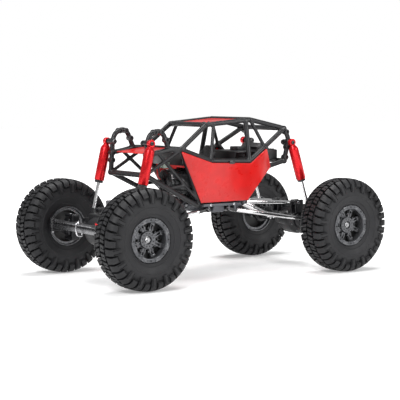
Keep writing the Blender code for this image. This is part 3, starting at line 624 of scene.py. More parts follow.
def rim_shell():
    """Barrel, hub disc and eight pocketed spokes."""
    rim = Build()
    for profile, sides in (
        ([(-16.0, 25.9), (11.6, 25.9), (11.9, 25.2), (11.9, 24.4), (3.0, 23.3), (-13.5, 23.9),
          (-15.0, 24.6), (-16.0, 24.9)], 64),
        ([(-13.0, 25.0), (-13.0, 21.0), (-11.6, 20.6), (-10.4, 21.0), (-10.4, 25.0)], 64),
        ([(-4.0, 3.4), (-4.0, 6.0), (3.2, 6.6), (3.2, 11.6), (3.8, 12.0), (5.4, 12.0), (5.8, 11.4),
          (6.0, 10.9), (8.6, 10.7), (9.2, 10.2), (9.2, 5.3), (8.8, 4.9), (5.2, 4.7), (5.2, 3.4)], 48),
    ):
        rim.turn(*WHEEL_AXIS, profile, sides, closed=True)
    for spin in turns(SPOKES, 0.5):
        for low, high, bevel in (
            ((13.0, -4.0, 3.0), (15.6, 4.0, 6.4), 0.4),
            ((10.0, -2.6, 3.2), (23.6, -1.0, 7.4), 0.35),
            ((10.0, 1.0, 3.2), (23.6, 2.6, 7.4), 0.35),
            ((9.4, -2.6, 3.0), (14.0, 2.6, 6.8), 0.5),
            ((19.2, -3.1, 3.2), (24.2, 3.1, 8.2), 0.6),
            ((12.0, -1.6, 2.4), (23.0, 1.6, 4.0), 0.3),
        ):
            rim.box(low, high, bevel, 2, spin)
    return rim


def build_wheels():
    ring, ring_screws, hub_screws, nut, web, spoke_screws = (Build() for _ in range(6))
    lip = [(12.4, 27.3), (12.4, 22.2), (13.0, 21.7), (15.3, 21.7), (15.9, 22.3), (16.1, 23.0),
           (16.1, 26.3), (15.5, 27.0)]
    ring.turn(*WHEEL_AXIS, lip, 72, closed=True)
    for spin in turns(SPOKES, 0.5):
        ring.box((22.0, -4.0, 15.6), (26.9, 4.0, 16.6), 0.45, 2, spin)
    for k, spot in enumerate(circle(24, 24.5)):
        ring_screws.screw((*spot, 16.0 if k % 3 else 16.5), (0, 0, 1), 0.95, 0.7)
    for spot in circle(12, 8.0, 0.5):
        hub_screws.screw((*spot, 9.1), (0, 0, 1), 0.85, 0.4)
    nut.turn(*WHEEL_AXIS, [(5.0, 4.4), (5.8, 4.4), (5.8, 3.6)], 24)
    nut.nut((0, 0, 5.6), (0, 0, 1), 3.7, 3.4)
    nut.rod((0, 0, 8.0), (0, 0, 10.6), 1.8)
    # The rim's web closes the disc behind the spokes. Its black, darker than the grey rim, is painted
    # shade for the hollow there.
    web.turn(*WHEEL_AXIS, [(0.4, 5.4), (0.4, 23.8), (2.2, 23.8), (2.2, 5.4)], 64, closed=True)
    for spot in circle(6, 17.5):
        spoke_screws.screw((*spot, 3.2), (0, 0, -1), 1.3, 1.2)
    kit = (
        ("knobby_tyre", tyre_shell(), RUBBER, "tyre"),
        ("spoked_rim", rim_shell(), RIM_GREY, "rim"),
        ("bead_ring", ring, RIM_GREY, "beadlock_ring"),
        # rim web in black wire material: a real part of the rim, coloured as painted shade behind the
        # spokes
        ("rim_web_painted_shade", web, WIRE_BLACK, None),
        ("ring_screws", ring_screws, NYLON_SATIN, None),
        ("hub_screws", hub_screws, WIRE_BLACK, None),
        ("wheel_nut", nut, GEAR_STEEL, None),
        ("spoke_screws", spoke_screws, STEEL, None),
    )
    for end, sign, _ in ENDS:
        for side_name, side, _ in SIDES:
            name = f"{end}_{side_name}"
            for suffix, build, material, node in kit:
                placed = build.copy(NO_MIRROR)
                bmesh.ops.transform(placed.bm, matrix=wheel_place(sign, side), verts=placed.bm.verts)
                nodes = [f"{name}_{node}"] if node else []
                piece(f"{name}_{suffix}", placed, material, f"{name}_wheel", *nodes)


# ---------------------------------------------------------------- cage and panels
def build_cage():
    side = Build()
    top_rail = [RAIL_FRONT, BRACE_TOP, HOOD_MID, PILLAR_FOOT, ROOF_FRONT, ROOF_REAR, REAR_TOP]
    for points, radius in (
        (top_rail, TUBE_RADIUS),
        ([ROOF_REAR, REAR_TOP, REAR_BULGE, REAR_MID, REAR_LOW, DOOR_TAIL], TUBE_RADIUS),
        ([REAR_LOW, DOOR_TAIL, ROCKER_REAR, ROCKER_FRONT, PILLAR_FOOT], TUBE_RADIUS),
        ([PILLAR_FOOT, SILL_FRONT, SILL_REAR, DOOR_PEAK, REAR_TOP], TUBE_RADIUS),
        ([FRONT_LOW, HOOP_FRONT, HOOP_BEND, HOOP_TOP, HOOP_BACK, (81.9, 43.3, 166.0)], TUBE_RADIUS),
        ([DOOR_PEAK, DOOR_TAIL], TUBE_RADIUS),
        ([FRONT_LOW, NOSE_LOW, ROCKER_FRONT], TUBE_RADIUS),
        ([along(ROOF_FRONT, ROOF_REAR, 0.17), SILL_FRONT], BRACE_RADIUS),
        ([along(ROOF_REAR, ROOF_FRONT, 0.10), SILL_REAR], TUBE_RADIUS),
        ([ROOF_REAR, DOOR_PEAK], BRACE_RADIUS),
        ([PILLAR_FOOT, FRONT_LOW], BRACE_RADIUS),
        ([BRACE_TOP, ROCKER_FRONT], BRACE_RADIUS),
        ([along(FRONT_LOW, NOSE_LOW, 0.42), along(BRACE_TOP, ROCKER_FRONT, 0.66)], BRACE_RADIUS),
    ):
        side.tube(points, radius, 5.0)
    for joint, radius in (
        (PILLAR_FOOT, 4.0), (DOOR_PEAK, 4.0), (REAR_LOW, 4.3), (FRONT_LOW, 4.3), (ROCKER_FRONT, 3.9),
        (ROOF_REAR, 3.2), (ROOF_FRONT, 3.4), (REAR_TOP, 3.8), (SILL_FRONT, 3.7), (SILL_REAR, 3.7),
    ):
        side.ball(joint, radius)
    side.rod(at_y(SHOCK_TOP_FRONT, 38.0), at_y(SHOCK_TOP_FRONT, 49.6), 3.7)
    side.rod(at_y(SHOCK_TOP_REAR, 41.0), at_y(SHOCK_TOP_REAR, 49.6), 3.7)
    side = side.fused(0.8, 5)

    bosses = Build()
    ring = both_ends([(2.0, 1.5), (0.0, 1.7), (0.0, 3.2), (0.4, 3.6)], 8.4)
    for start, end, share in (
        (HOOP_FRONT, FRONT_LOW, 0.38), (HOOP_FRONT, FRONT_LOW, 0.62), (HOOP_BEND, HOOP_TOP, 0.55),
        (HOOP_TOP, HOOP_BACK, 0.55), (HOOP_BACK, HOOD_MID, 0.40), (REAR_TOP, REAR_BULGE, 0.35),
        (REAR_BULGE, REAR_MID, 0.55), (REAR_MID, REAR_LOW, 0.5),
    ):
        spot = along(start, end, share)
        bosses.turn(beside(spot, -4.2), beside(spot, 4.2), ring, 20, closed=True)
    heads = Build()
    for spot in (FRONT_LOW, PILLAR_FOOT, ROOF_FRONT, ROOF_REAR, REAR_TOP, REAR_LOW, DOOR_PEAK):
        heads.screw(beside(spot, TUBE_RADIUS + 0.3), (0, 1, 0), 1.5, 0.9)
    knobs = Build()
    knob = [(0.0, 4.4), (1.2, 4.4), (1.6, 3.6), (4.4, 3.4), (5.0, 2.7), (5.0, 1.6), (4.2, 1.4)]
    for top in (SHOCK_TOP_FRONT, SHOCK_TOP_REAR):
        knobs.turn(at_y(top, 38.2), at_y(top, 30.0), knob, 6)
    pair("tube_frame_{}", side, NYLON, "chassis", "cage_side_{}", crease=50.0)
    pair("hoop_bosses_{}", bosses, NYLON, "chassis")
    pair("frame_screws_{}", heads, NYLON_SATIN, "chassis")
    pair("shock_bolt_heads_{}", knobs, NYLON_SATIN, "chassis")

    for name, end, radius in (
        ("crossbar_front", FRONT_LOW, 3.5),
        ("crossbar_roof_front", ROOF_FRONT, TUBE_RADIUS),
        ("crossbar_roof_rear", ROOF_REAR, TUBE_RADIUS),
        ("crossbar_rear_top", REAR_TOP, TUBE_RADIUS),
        ("crossbar_rear_low", REAR_LOW, TUBE_RADIUS),
    ):
        cross = Build()
        reach = end[1] - 0.5
        cross.rod(at_y(end, -reach), at_y(end, reach), radius)
        if end != ROOF_REAR:
            for y in (-reach + 5.0, reach - 5.0):
                cross.rod(at_y(end, y - 1.2), at_y(end, y + 1.2), radius + 0.55, bevel=0.5)
        piece(f"{name}_tube", cross, NYLON, "chassis", name)
    hood_bar = Build()
    spot = along(PILLAR_FOOT, HOOD_MID, 0.06)
    hood_bar.rod((spot[0], -42.0, spot[2] + 1.4), (spot[0], 42.0, spot[2] + 1.4), 2.1)
    piece("hood_rear_bar", hood_bar, NYLON, "chassis")


def folded_sheet(corners, facets, thickness, rounding, bevel=0.35):
    """Flat facets joined along their folds, given rounded corners and a thickness."""
    part = bmesh.new()
    verts = [part.verts.new(vec(p)) for p in corners]
    for facet in facets:
        part.faces.new([verts[i] for i in facet])
    loose = [v for v in verts if len(v.link_faces) == 1]
    bmesh.ops.bevel(part, geom=loose, offset=rounding * MM, segments=4, profile=0.5, affect="VERTICES")
    mesh = bpy.data.meshes.new("sheet")
    part.to_mesh(mesh)
    part.free()
    obj = bpy.data.objects.new("sheet", mesh)
    bpy.context.scene.collection.objects.link(obj)
    solid = obj.modifiers.new("thickness", "SOLIDIFY")
    solid.thickness = thickness * MM
    solid.offset = 1.0
    solid.use_even_offset = True
    soft = obj.modifiers.new("edges", "BEVEL")
    soft.width = bevel * MM
    soft.segments = 2
    soft.limit_method = "ANGLE"
    soft.angle_limit = math.radians(28)
    graph = bpy.context.evaluated_depsgraph_get()
    result = bpy.data.meshes.new_from_object(obj.evaluated_get(graph))
    bpy.data.objects.remove(obj)
    shell = Build()
    shell.bm.from_mesh(result)
    return shell


def build_panels():
    corners = [DOOR_FRONT_TOP, DOOR_SILL_FRONT, DOOR_SILL_REAR, DOOR_REAR_PEAK, DOOR_REAR_TAIL,
               DOOR_FOOT_REAR, DOOR_FOOT_FRONT]
    door = folded_sheet(corners, [(0, 1, 6), (1, 2, 5, 6), (2, 3, 4, 5)], 1.15, 2.2)
    clip = Build()
    clip.box((-8.0, 60.6, 146.2), (0.0, 62.0, 150.4), 0.5)
    pair("folded_door_{}", door, RED_PANEL, "chassis", "door_{}", crease=20.0)
    pair("door_clip_{}", clip, NYLON_SATIN, "chassis")

    for name, node in (("roof_skin", "roof_panel"), ("hood_skin", "hood_panel")):
        verts = [v.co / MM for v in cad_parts[node].data.vertices]
        front = max(v.x for v in verts)
        rear = min(v.x for v in verts)
        ends = []
        for x in (front, rear):
            near = [v for v in verts if abs(v.x - x) < 1.5]
            ends.append((x, max(v.y for v in near), sum(v.z for v in near) / len(near)))
        (fx, fy, fz), (rx, ry, rz) = ends
        half = 0.55
        quad = [(fx, fy, fz - half), (rx, ry, rz - half), (rx, -ry, rz - half), (fx, -fy, fz - half)]
        panel = folded_sheet(quad, [(0, 3, 2, 1)], 1.1, 3.5)
        piece(name, panel, RED_PANEL, "chassis", node)
        fasteners = Build()
        up = Vector((rz - fz, 0, fx - rx)).normalized()
        for t in (0.10, 0.90):
            x, y, z = along(ends[0], ends[1], t)
            for side in (-1, 1):
                fasteners.screw(Vector((x, side * (y - 4.5), z)) + up * 0.6, up, 1.6, 0.9)
        piece(f"{name}_screws", fasteners, NYLON_SATIN, "chassis")


# ---------------------------------------------------------------- chassis
def build_skid():
    skid = Build()
    skid.box((-36.0, -38.0, 90.0), (25.0, 38.0, 93.4), 0.7)
    skid.box((-38.0, -29.0, 82.0), (27.0, 29.0, 91.0), 2.2, 3)
    skid.box((-9.0, -37.0, 82.0), (9.0, 37.0, 91.0), 2.0, 3)
    for x in (-28.0, -18.0, 14.0):
        skid.box((x, -37.4, 84.5), (x + 3.0, 37.4, 90.6), 0.6)
    for end in (1, -1):
        for y in (14.0, 26.0, -14.0, -26.0):
            x0, x1 = sorted((end * 22, end * 47))
            skid.box((x0, y - 1.4, 88.0), (x1, y + 1.4, 96.6), 0.5)
            skid.rod((end * 46.0, y - 1.4, 93.0), (end * 46.0, y + 1.4, 93.0), 4.6, bevel=0.4)
    piece("skid_plate_moulding", skid, SKID_GREY, "chassis", "skid_plate")
    bright = Build()
    screws = Build()
    for x in (13.0, -24.0):
        for side in (1, -1):
            bright.screw((x, side * 37.8, 92.0), (0, side, 0), 1.7, 0.6)
            screws.screw((x, side * 24.0, 82.0), (0, 0, -1), 2.0, 0.25)
    for end in (1, -1):
        for side in (1, -1):
            screws.screw((end * 16.0, side * 37.4, 86.0), (0, side, 0), 2.0, 1.2)
            screws.nut((end * 46.0, side * 27.4, 93.0), (0, side, 0), 2.5, 2.0)
            screws.rod((end * 46.0, side * 12.0, 93.0), (end * 46.0, side * 28.0, 93.0), 1.2)
            screws.rod((end * 16.0, side * 28.0, 86.0), (end * 16.0, side * 37.5, 86.0), 1.3)
    piece("skid_side_screws", bright, STEEL, "chassis")
    piece("skid_screws", screws, GUNMETAL, "chassis")


def build_cabin():
    profile = [(59.0, 161.0), (56.5, 144.5), (-28.0, 144.5), (-30.5, 158.5), (-66.0, 158.5)]
    corners = [(x, side * 34.0, z) for x, z in profile for side in (1, -1)]
    facets = [(2 * i, 2 * i + 1, 2 * i + 3, 2 * i + 2) for i in range(len(profile) - 1)]
    piece("cabin_tray", folded_sheet(corners, facets, -2.0, 2.0), NYLON, "chassis", "interior_tray")

    seat = Build()
    lean = Matrix.Translation(vec((-4.5, 0.0, 145.6))) @ Matrix.Rotation(math.pi / 2, 4, "Z")
    lean = lean @ Matrix.Rotation(math.radians(72), 4, "X")
    seat.plate([(-14, 0), (14, 0), (14.5, 14), (8, 23.5), (-8, 23.5), (-14.5, 14)], 4.2, lean, 1.2)
    for side in (1, -1):
        seat.plate([(side * 9.5, 1), (side * 14.6, 1), (side * 14.8, 14), (side * 10.0, 17)], 7.0, lean,
                   1.6)
        seat.box((-6.0, side * 12.0 - 2.6, 146.2), (22.0, side * 12.0 + 2.6, 152.4), 1.8, 3)
    seat.box((-7.0, -14.0, 145.4), (24.0, 14.0, 149.6), 1.6, 3)
    for y in (-3.6, 3.6):
        seat.plate([(y - 1.3, 16.5), (y + 1.3, 16.5), (y + 1.3, 19.0), (y - 1.3, 19.0)], 5.0, lean, 0.4)
    piece("bucket_seat", seat, NYLON_SATIN, "chassis", "driver_seat")
    dash = Build()
    dash.box((49.0, -31.0, 152.0), (57.0, 31.0, 161.0), 2.0, 3)
    for y in (-8.0, 0.0, 8.0):
        gauge = [(0, 3.4), (1.0, 3.4), (1.3, 3.0), (0.9, 2.6), (0.5, 2.4)]
        dash.turn((49.4, y, 157.4), (48.0, y, 157.4), gauge, 20)
    hub = (41.0, 12.0, 158.6)
    dash.rod((49.0, 12.0, 156.0), hub, 1.2)
    wheel = [(-0.9, 6.4), (-0.9, 8.2), (0.9, 8.2), (0.9, 6.4)]
    dash.turn(hub, (33.0, 12.0, 161.2), wheel, 28, closed=True)
    column = frame_on(vec(hub), Vector((-8.0, 0, 2.6)))
    for k in range(3):
        spoke = column @ Matrix.Rotation(2.1 * k, 4, "Z")
        dash.box((0.0, -0.7, -0.5), (7.0, 0.7, 0.5), 0.25, 1, spoke)
    piece("dashboard", dash, NYLON_SATIN, "chassis")


def build_electrics():
    cover = Build()
    cover.box((-97.6, -36.0, 147.2), (-74.2, 36.0, 162.0), 1.8, 3)
    upright = Matrix.Rotation(math.pi / 2, 4, "X")
    lid = [(-75.4, 160.0), (-75.4, 165.0), (-84.0, 170.4), (-96.2, 163.6), (-96.2, 160.0)]
    cover.plate(lid, 38.0, upright, 0.9)
    for y in (-30.0, -24.0, 24.0, 30.0):
        cover.box((-96.0, y - 1.0, 161.4), (-76.0, y + 1.0, 162.9), 0.35)
    for y in (-9.5, 0.0, 9.5):
        cover.box((-76.4, y - 3.2, 150.0), (-73.9, y + 3.2, 159.0), 0.5)
    piece("battery_box", cover, NYLON, "chassis", "battery_cover")
    pack = Build()
    pack.box((-95.0, -31.8, 147.7), (-76.8, 31.8, 158.4), 2.4, 3)
    piece("battery_cells", pack, BATTERY_WRAP, "chassis", "battery_pack")
    strap = Build()
    strap.box((-98.0, -20.5, 146.9), (-73.9, -14.5, 162.4), 0.5)
    piece("battery_strap", strap, NYLON_SATIN, "chassis")

    esc = Build()
    esc.box((-59.8, -17.8, 143.6), (-37.2, 17.8, 152.6), 1.2, 3)
    for k in range(9):
        y = -15.2 + 3.8 * k
        esc.box((-58.0, y - 0.7, 152.0), (-39.0, y + 0.7, 156.1), 0.25, 1)
    piece("speed_controller_case", esc, DARK_CASE, "chassis", "speed_controller")
    receiver = Build()
    receiver.box((-63.8, -8.8, 159.0), (-50.2, 8.8, 165.8), 1.1, 3)
    for k in range(5):
        receiver.box((-50.6, -7.6 + 3.1 * k, 160.2), (-49.6, -5.4 + 3.1 * k, 164.8), 0.2, 1)
    piece("receiver_case", receiver, DARK_CASE, "chassis", "receiver_box")


def build_drive_train():
    case = Build()
    case.box((-18.0, -19.0, 93.8), (18.6, 15.0, 122.0), 2.0, 3)
    case.rod((-16.0, -2.1, 112.0), (17.0, -2.1, 112.0), 17.0, bevel=1.4, sides=40)
    case.box((8.0, -24.0, 97.0), (27.0, -19.8, 124.0), 1.0)
    case.box((8.0, -22.0, 97.0), (16.0, -18.0, 121.0), 0.8)
    back, face = MOTOR_PLATE
    for y0, z0, y1, z1 in ((-23.0, 104.0, 32.0, 112.0), (-23.0, 130.5, 32.0, 139.0),
                           (-23.0, 104.0, -4.0, 139.0), (24.0, 104.0, 32.0, 139.0)):
        case.box((back, y0, z0), (face, y1, z1), 0.6)
    for start, end in ((-32.4, -10.0), (24.9, 32.4)):
        case.rod((start, 0.0, OUTPUT_Z), (end, 0.0, OUTPUT_Z), 4.6)
    for y in (-17.4, 13.4):
        case.box((-16.0, y - 1.2, 94.0), (16.0, y + 1.2, 120.0), 0.6)
    for z in (99.0, 107.0, 115.0):
        case.box((-18.9, -17.0, z), (18.0, 13.0, z + 1.5), 0.4)
    piece("gearbox_housing", case, DARK_CASE, "chassis", "gearbox_case")
    screws = Build()
    for end in (-1, 1):
        for y, z in ((-16.0, 119.0), (12.0, 119.0), (-16.0, 96.4), (12.0, 96.4)):
            screws.screw((end * 18.4, y, z), (end, 0, 0), 1.5, 0.9)
    y, z = MOTOR_Y, MOTOR_Z
    for across in (y - 12.0, y + 12.0):
        screws.screw((back, across, z), (-1, 0, 0), 1.6, 0.9)
    piece("gearbox_screws", screws, STEEL, "chassis")
    motor = Build()
    can = [(0, 15.6), (0.6, 17.0), (1.4, 17.5), (37.0, 17.5), (37.8, 17.0), (38.4, 16.2), (39.6, 16.2),
           (40.0, 17.2), (43.0, 17.2), (44.6, 15.4), (45.6, 12.8), (45.8, 6.4), (48.6, 6.0),
           (49.0, 5.2), (49.0, 2.0)]
    motor.turn((27.4, y, z), (28.4, y, z), can, 48)
    piece("motor_can", motor, MOTOR_BLACK, "chassis", "motor")
    vents = Build()
    for k in range(6):
        spin = Matrix.Translation(vec((68.8, y, z))) @ Matrix.Rotation(k * math.pi / 3, 4, "X")
        vents.box((-1.4, -3.4, 16.6), (1.4, 3.4, 17.4), 0.3, 1, spin)
    piece("motor_vents", vents, STEEL, "chassis")
    plug = Build()
    plug.box((70.0, 18.0, 141.6), (80.0, 27.0, 149.4), 1.0, 3)
    plug.box((79.0, 19.5, 143.0), (83.0, 25.5, 148.0), 0.6)
    piece("motor_connector", plug, LABEL_GREY, "chassis")
    for name, material, shift in (("motor_lead_red", WIRE_RED, 0.0),
                                  ("motor_lead_black", WIRE_BLACK, 4.0)):
        lead = Build()
        path = [(75.0, y - 2.0 + shift, z + 4.0), (80.5, y - 1.0 + shift, z + 8.0),
                (84.0, 19.0 + shift, 137.0), (84.5, 20.5 + shift * 0.6, 144.0),
                (80.0, 21.0 + shift * 0.6, 145.5)]
        lead.tube(path, 1.05, 4.0, 10)
        piece(name, lead, material, "chassis")
    for gear in ("spur_gear", "pinion_gear"):
        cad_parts[gear].data.materials.clear()
        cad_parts[gear].data.materials.append(GEAR_STEEL)


# ---------------------------------------------------------------- suspension
def rod_end(centre, toward, build, reach, radius=3.5, half=3.1):
    """A ball joint's moulded end: an eye across the link and a collar towards the rod."""
    ring = both_ends([(0.3, 2.5), (0.0, radius - 0.5), (0.5, radius)], 2 * half)
    build.turn(beside(centre, -half), beside(centre, half), ring, 24, closed=True)
    direction = (Vector(toward) - Vector(centre)).normalized()
    start = Vector(centre) + direction * (radius - 0.7)
    build.rod(start, Vector(centre) + direction * reach, 2.3, 2.7)


def joint_ball(centre, build, radius=2.75):
    """The steel ball of a rod end, flat where its screw goes through."""
    half = [(-3.3, 1.3), (-3.3, 1.9), (-2.2, 2.0), (-1.6, radius * 0.86)]
    profile = half + [(0.0, radius)] + [(-place, size) for place, size in reversed(half)]
    build.turn(centre, beside(centre, 1.0), profile, 20)


def build_links():
    for end, _, mirror in ENDS:
        for level, a, b, radius in (("lower", LOWER_LINK_CHASSIS, LOWER_LINK_AXLE, 2.9),
                                    ("upper", UPPER_LINK_CHASSIS, UPPER_LINK_AXLE, 2.6)):
            rod, ends, balls = Build(), Build(), Build()
            shoulder = span(a, b) * LINK_SHOULDER
            half = [(shoulder, 2.0), (shoulder + 0.8, radius * 0.9), (shoulder + 5, radius * 0.9),
                    (shoulder + 6, radius)]
            rod.turn(a, b, both_ends(half, span(a, b)), 24)
            for near, far in ((a, b), (b, a)):
                rod_end(near, far, ends, shoulder + 0.6)
                joint_ball(near, balls)
            link, body = f"{end}_{level}_link_{{}}", f"{end}_{level}_links"
            pair(link + "_rod", rod, CHROME, body, link, mirror)
            pair(link + "_ends", ends, NYLON_SATIN, body, mirror=mirror)
            pair(link + "_balls", balls, GUNMETAL, body, mirror=mirror)


def build_driveshafts():
    a, b = SHAFT_CHASSIS, SHAFT_AXLE
    shaft = Build()
    length = span(a, b)
    line = frame_on(vec(a), vec(b) - vec(a))
    sleeve = [(4.5, 2.2), (5.2, 3.8), (7.0, 4.1), (45.0, 4.1), (46.0, 4.5), (49.0, 4.5), (49.6, 3.9),
              (49.6, 2.9)]
    shaft.turn(a, b, sleeve, 24)
    spline = [(48.0, 2.6), (length - 6.0, 2.6), (length - 5.2, 3.8), (length - 4.2, 3.2),
              (length - 4.2, 2.0)]
    shaft.turn(a, b, spline, 12)
    for spin in turns(6):
        shaft.box((2.2, -0.6, 48.0), (3.2, 0.6, length - 6.0), 0.2, 1, line @ spin)
    for base, out, quarter in ((0.0, 1, 0), (length, -1, 1)):
        turn = line @ Matrix.Rotation(quarter * math.pi / 2, 4, "Z")
        for side in (1, -1):
            low = sorted((base - out * 1.8, base + out * 5.6))
            shaft.box((side * 4.0 - 1.0, -2.2, low[0]), (side * 4.0 + 1.0, 2.2, low[1]), 0.5, 2, turn)
        shaft.rod((-4.9, 0, base), (4.9, 0, base), 1.25, matrix=turn)
        shaft.rod((0, -4.4, base), (0, 4.4, base), 1.25, matrix=turn)
        shaft.box((-1.9, -1.9, base - 1.9), (1.9, 1.9, base + 1.9), 0.5, 2, turn)
    for end, _, mirror in ENDS:
        piece(f"{end}_universal_shaft", shaft.copy(mirror), CHROME, f"{end}_driveshaft",
              f"{end}_driveshaft")


def build_shocks():
    for end, a, x in (("front", SHOCK_TOP_FRONT, SHOCK_AXLE[0]),
                      ("rear", SHOCK_TOP_REAR, -SHOCK_AXLE[0])):
        b = (x, *SHOCK_AXLE[1:])
        length = span(a, b)
        lower = length * 0.50
        body, cap, shaft, foot, top_ball, foot_ball, screw = (Build() for _ in range(7))
        ring = both_ends([(0.2, 2.9), (0.0, 4.3), (0.6, 4.9)], 6.0)
        body.turn(beside(a, -3.0), beside(a, 3.0), ring, 28, closed=True)
        body.turn(a, b, [(3.6, 3.2), (6.0, 4.6), (8.0, 5.8), (9.2, 6.3), (10.0, 6.5),
                         (lower - 0.8, 6.5), (lower, 6.1)], 48)
        cap.turn(a, b, [(lower + 0.1, 5.2), (lower + 0.5, 5.6), (lower + 2.6, 5.6),
                        (lower + 3.2, 4.8), (lower + 3.4, 3.0)], 32)
        shaft.turn(a, b, [(length * 0.36, 1.9), (length * 0.36 + 0.3, 2.1),
                          (length - 6.0, 2.1), (length - 5.8, 1.8)], 24)
        rod_end(b, a, foot, 14.5, 3.6, 3.0)
        foot.turn(b, a, [(13.0, 2.4), (13.4, 3.1), (15.0, 3.1), (15.4, 2.4)], 24)
        joint_ball(a, top_ball, 3.0)
        joint_ball(b, foot_ball)
        screw.screw(beside(a, 3.0), (0, 1, 0), 2.3, 1.3)
        shock, upper, low = f"{end}_shock_{{}}", f"{end}_shock_bodies", f"{end}_shock_shafts"
        pair(shock + "_cylinder", body, RED_METAL, upper, f"{end}_shock_body_{{}}")
        pair(shock + "_lower_cap", cap, NYLON_SATIN, upper)
        pair(shock + "_rod", shaft, CHROME, low, f"{end}_shock_shaft_{{}}")
        pair(shock + "_foot", foot, NYLON_SATIN, low)
        pair(shock + "_top_ball", top_ball, GUNMETAL, upper)
        pair(shock + "_foot_ball", foot_ball, GUNMETAL, low)
        pair(shock + "_top_screw", screw, NYLON_SATIN, "chassis")


# ---------------------------------------------------------------- axles
def axle_castings(tube_end, bulge):
    """The parts that both axles share, in place on the front axle."""
    x = AXLE_X
    cast = Build()
    cast.rod(on_axle(-tube_end), on_axle(tube_end), 6.8, bevel=0.5, sides=32)
    half = [(0, bulge * 0.70), (2.5, bulge * 0.82), (5.5, bulge * 0.97), (7.5, bulge)]
    cast.turn(on_axle(-16.0), on_axle(16.0), both_ends(half, 32), 40)
    cast.rod((x - 8.0, 0.0, AXLE_Z + 2.0), (126.0, 0.0, AXLE_Z + 3.6), 12.0, 7.4, sides=28)
    for side in (1, -1):
        neck = [(0, bulge * 0.72), (2, 12.0), (8.5, 9.0), (9.5, 10.4), (13.0, 10.4), (14.0, 7.4),
                (16.0, 6.8)]
        cast.turn(on_axle(side * 14.0), on_axle(side * 30.0), neck, 32)
    cast.box((x - 12.0, -26.0, 76.0), (x + 4.0, 26.0, 84.0), 1.2)
    for low in (-26.0, 20.0):
        cast.box((x - 6.0, low, 64.0), (x + 4.0, low + 6.0, 78.0), 1.0)
    for side in (1, -1):
        for eye, reach, low, high in ((LOWER_LINK_AXLE, 12.0, 61.0, 70.0),
                                      (UPPER_LINK_AXLE, 10.0, 72.0, 91.0)):
            for sign in (1, -1):
                y = side * eye[1] + sign * 5.1
                cast.box((eye[0] - 3.6, y - 1.1, low), (eye[0] + reach, y + 1.1, high), 0.4)
                cast.rod(at_y(eye, y - 1.1), at_y(eye, y + 1.1), 4.1, bevel=0.3)
        y = side * (SHOCK_AXLE[1] - 4.6)
        cast.box((SHOCK_AXLE[0] - 3.6, y - 1.2, 60.0), (SHOCK_AXLE[0] + 14.0, y + 1.2, 76.6), 0.4)
        cast.box((x - 4.6, side * 46.0 - 2.0, 56.4), (x + 4.6, side * 46.0 + 2.0, 70.0), 0.8)
    screws = Build()
    for ahead, above in circle(8, bulge * 0.80, 0.5):
        for side in (1, -1):
            screws.screw((x + ahead, side * 13.2, AXLE_Z + above), (0, side, 0), 1.35, 1.0)
    for side in (1, -1):
        for centre in (LOWER_LINK_AXLE, UPPER_LINK_AXLE):
            eye = at_y(centre, side * centre[1])
            screws.screw(beside(eye, side * 6.2), (0, side, 0), 2.1, 1.3)
            screws.nut(beside(eye, -side * 6.2), (0, -side, 0), 2.4, 1.9)
        screws.screw(at_y(SHOCK_AXLE, side * 57.2), (0, side, 0), 2.0, 1.2)
        screws.rod(at_y(SHOCK_AXLE, side * 48.0), at_y(SHOCK_AXLE, side * 57.4), 1.2)
    return cast, screws


def build_front_axle():
    x = AXLE_X
    cast, screws = axle_castings(67.0, 18.4)
    for side in (1, -1):
        for near, far, low, high in ((64.0, 70.0, 45.5, 79.5), (66.0, 86.0, 75.2, 79.5),
                                     (66.0, 86.0, 45.5, 49.8)):
            y0, y1 = sorted((side * near, side * far))
            cast.box((x - 5.5, y0, low), (x + 5.5, y1, high), 1.2)
        for z, way in ((79.3, 1), (45.7, -1)):
            screws.screw((x, side * KINGPIN_Y, z), (0, 0, way), 2.8, 1.2)
    low, high = SERVO_Y - SERVO_HALF, SERVO_Y + SERVO_HALF
    for x0, y0, z0, x1, y1, z1 in (
        (-36.0, 24.0, 81.8, -8.0, high, 84.2), (2.0, 22.0, 81.8, 16.0, low + 2.5, 84.2),
        (6.0, low, 81.8, 16.0, high, 84.2), (-36.0, low, 83.0, -31.2, high, 87.6),
        (10.0, low, 83.0, 16.0, high, 87.6),
    ):
        cast.box((x + x0, y0, z0), (x + x1, y1, z1), 0.4)
    cast = cast.fused(0.9, 2)
    piece("front_axle_casting", cast, NYLON, "front_axle", "front_axle_housing", crease=50.0)
    piece("front_axle_screws", screws, GUNMETAL, "front_axle")

    knuckle = Build()
    knuckle.box((x - 6.0, KINGPIN_Y - 6.0, 51.0), (x + 6.0, KINGPIN_Y + 8.0, 74.0), 2.4, 3)
    knuckle.rod(on_axle(KINGPIN_Y + 7.0), on_axle(96.0), 7.4, 6.2, sides=28)
    knuckle.box((x + 3.0, KINGPIN_Y - 2.6, 57.6), (x + 26.0, KINGPIN_Y + 2.6, 61.8), 0.9)
    knuckle.rod((STEERING_TIP, KINGPIN_Y, 57.4), (STEERING_TIP, KINGPIN_Y, 62.0), 3.6)
    knuckle.box((x + 3.0, KINGPIN_Y - 1.0, 54.0), (x + 15.0, KINGPIN_Y + 1.0, 59.0), 0.5)
    knuckle = knuckle.fused(0.6, 2)
    hub = Build()
    hub.rod(on_axle(95.0), on_axle(106.5), 3.0)
    hub.turn(on_axle(97.0), on_axle(100.0), both_ends([(0, 5.4), (0.3, 5.9)], 3.7), 6)
    hub.screw((STEERING_TIP, KINGPIN_Y, 57.6), (0, 0, -1), 2.0, 1.3)
    pair("steering_knuckle_{}", knuckle, NYLON, "knuckle_{}", "knuckle_{}", crease=50.0)
    pair("stub_axle_{}", hub, STEEL, "knuckle_{}")
    build_steering()


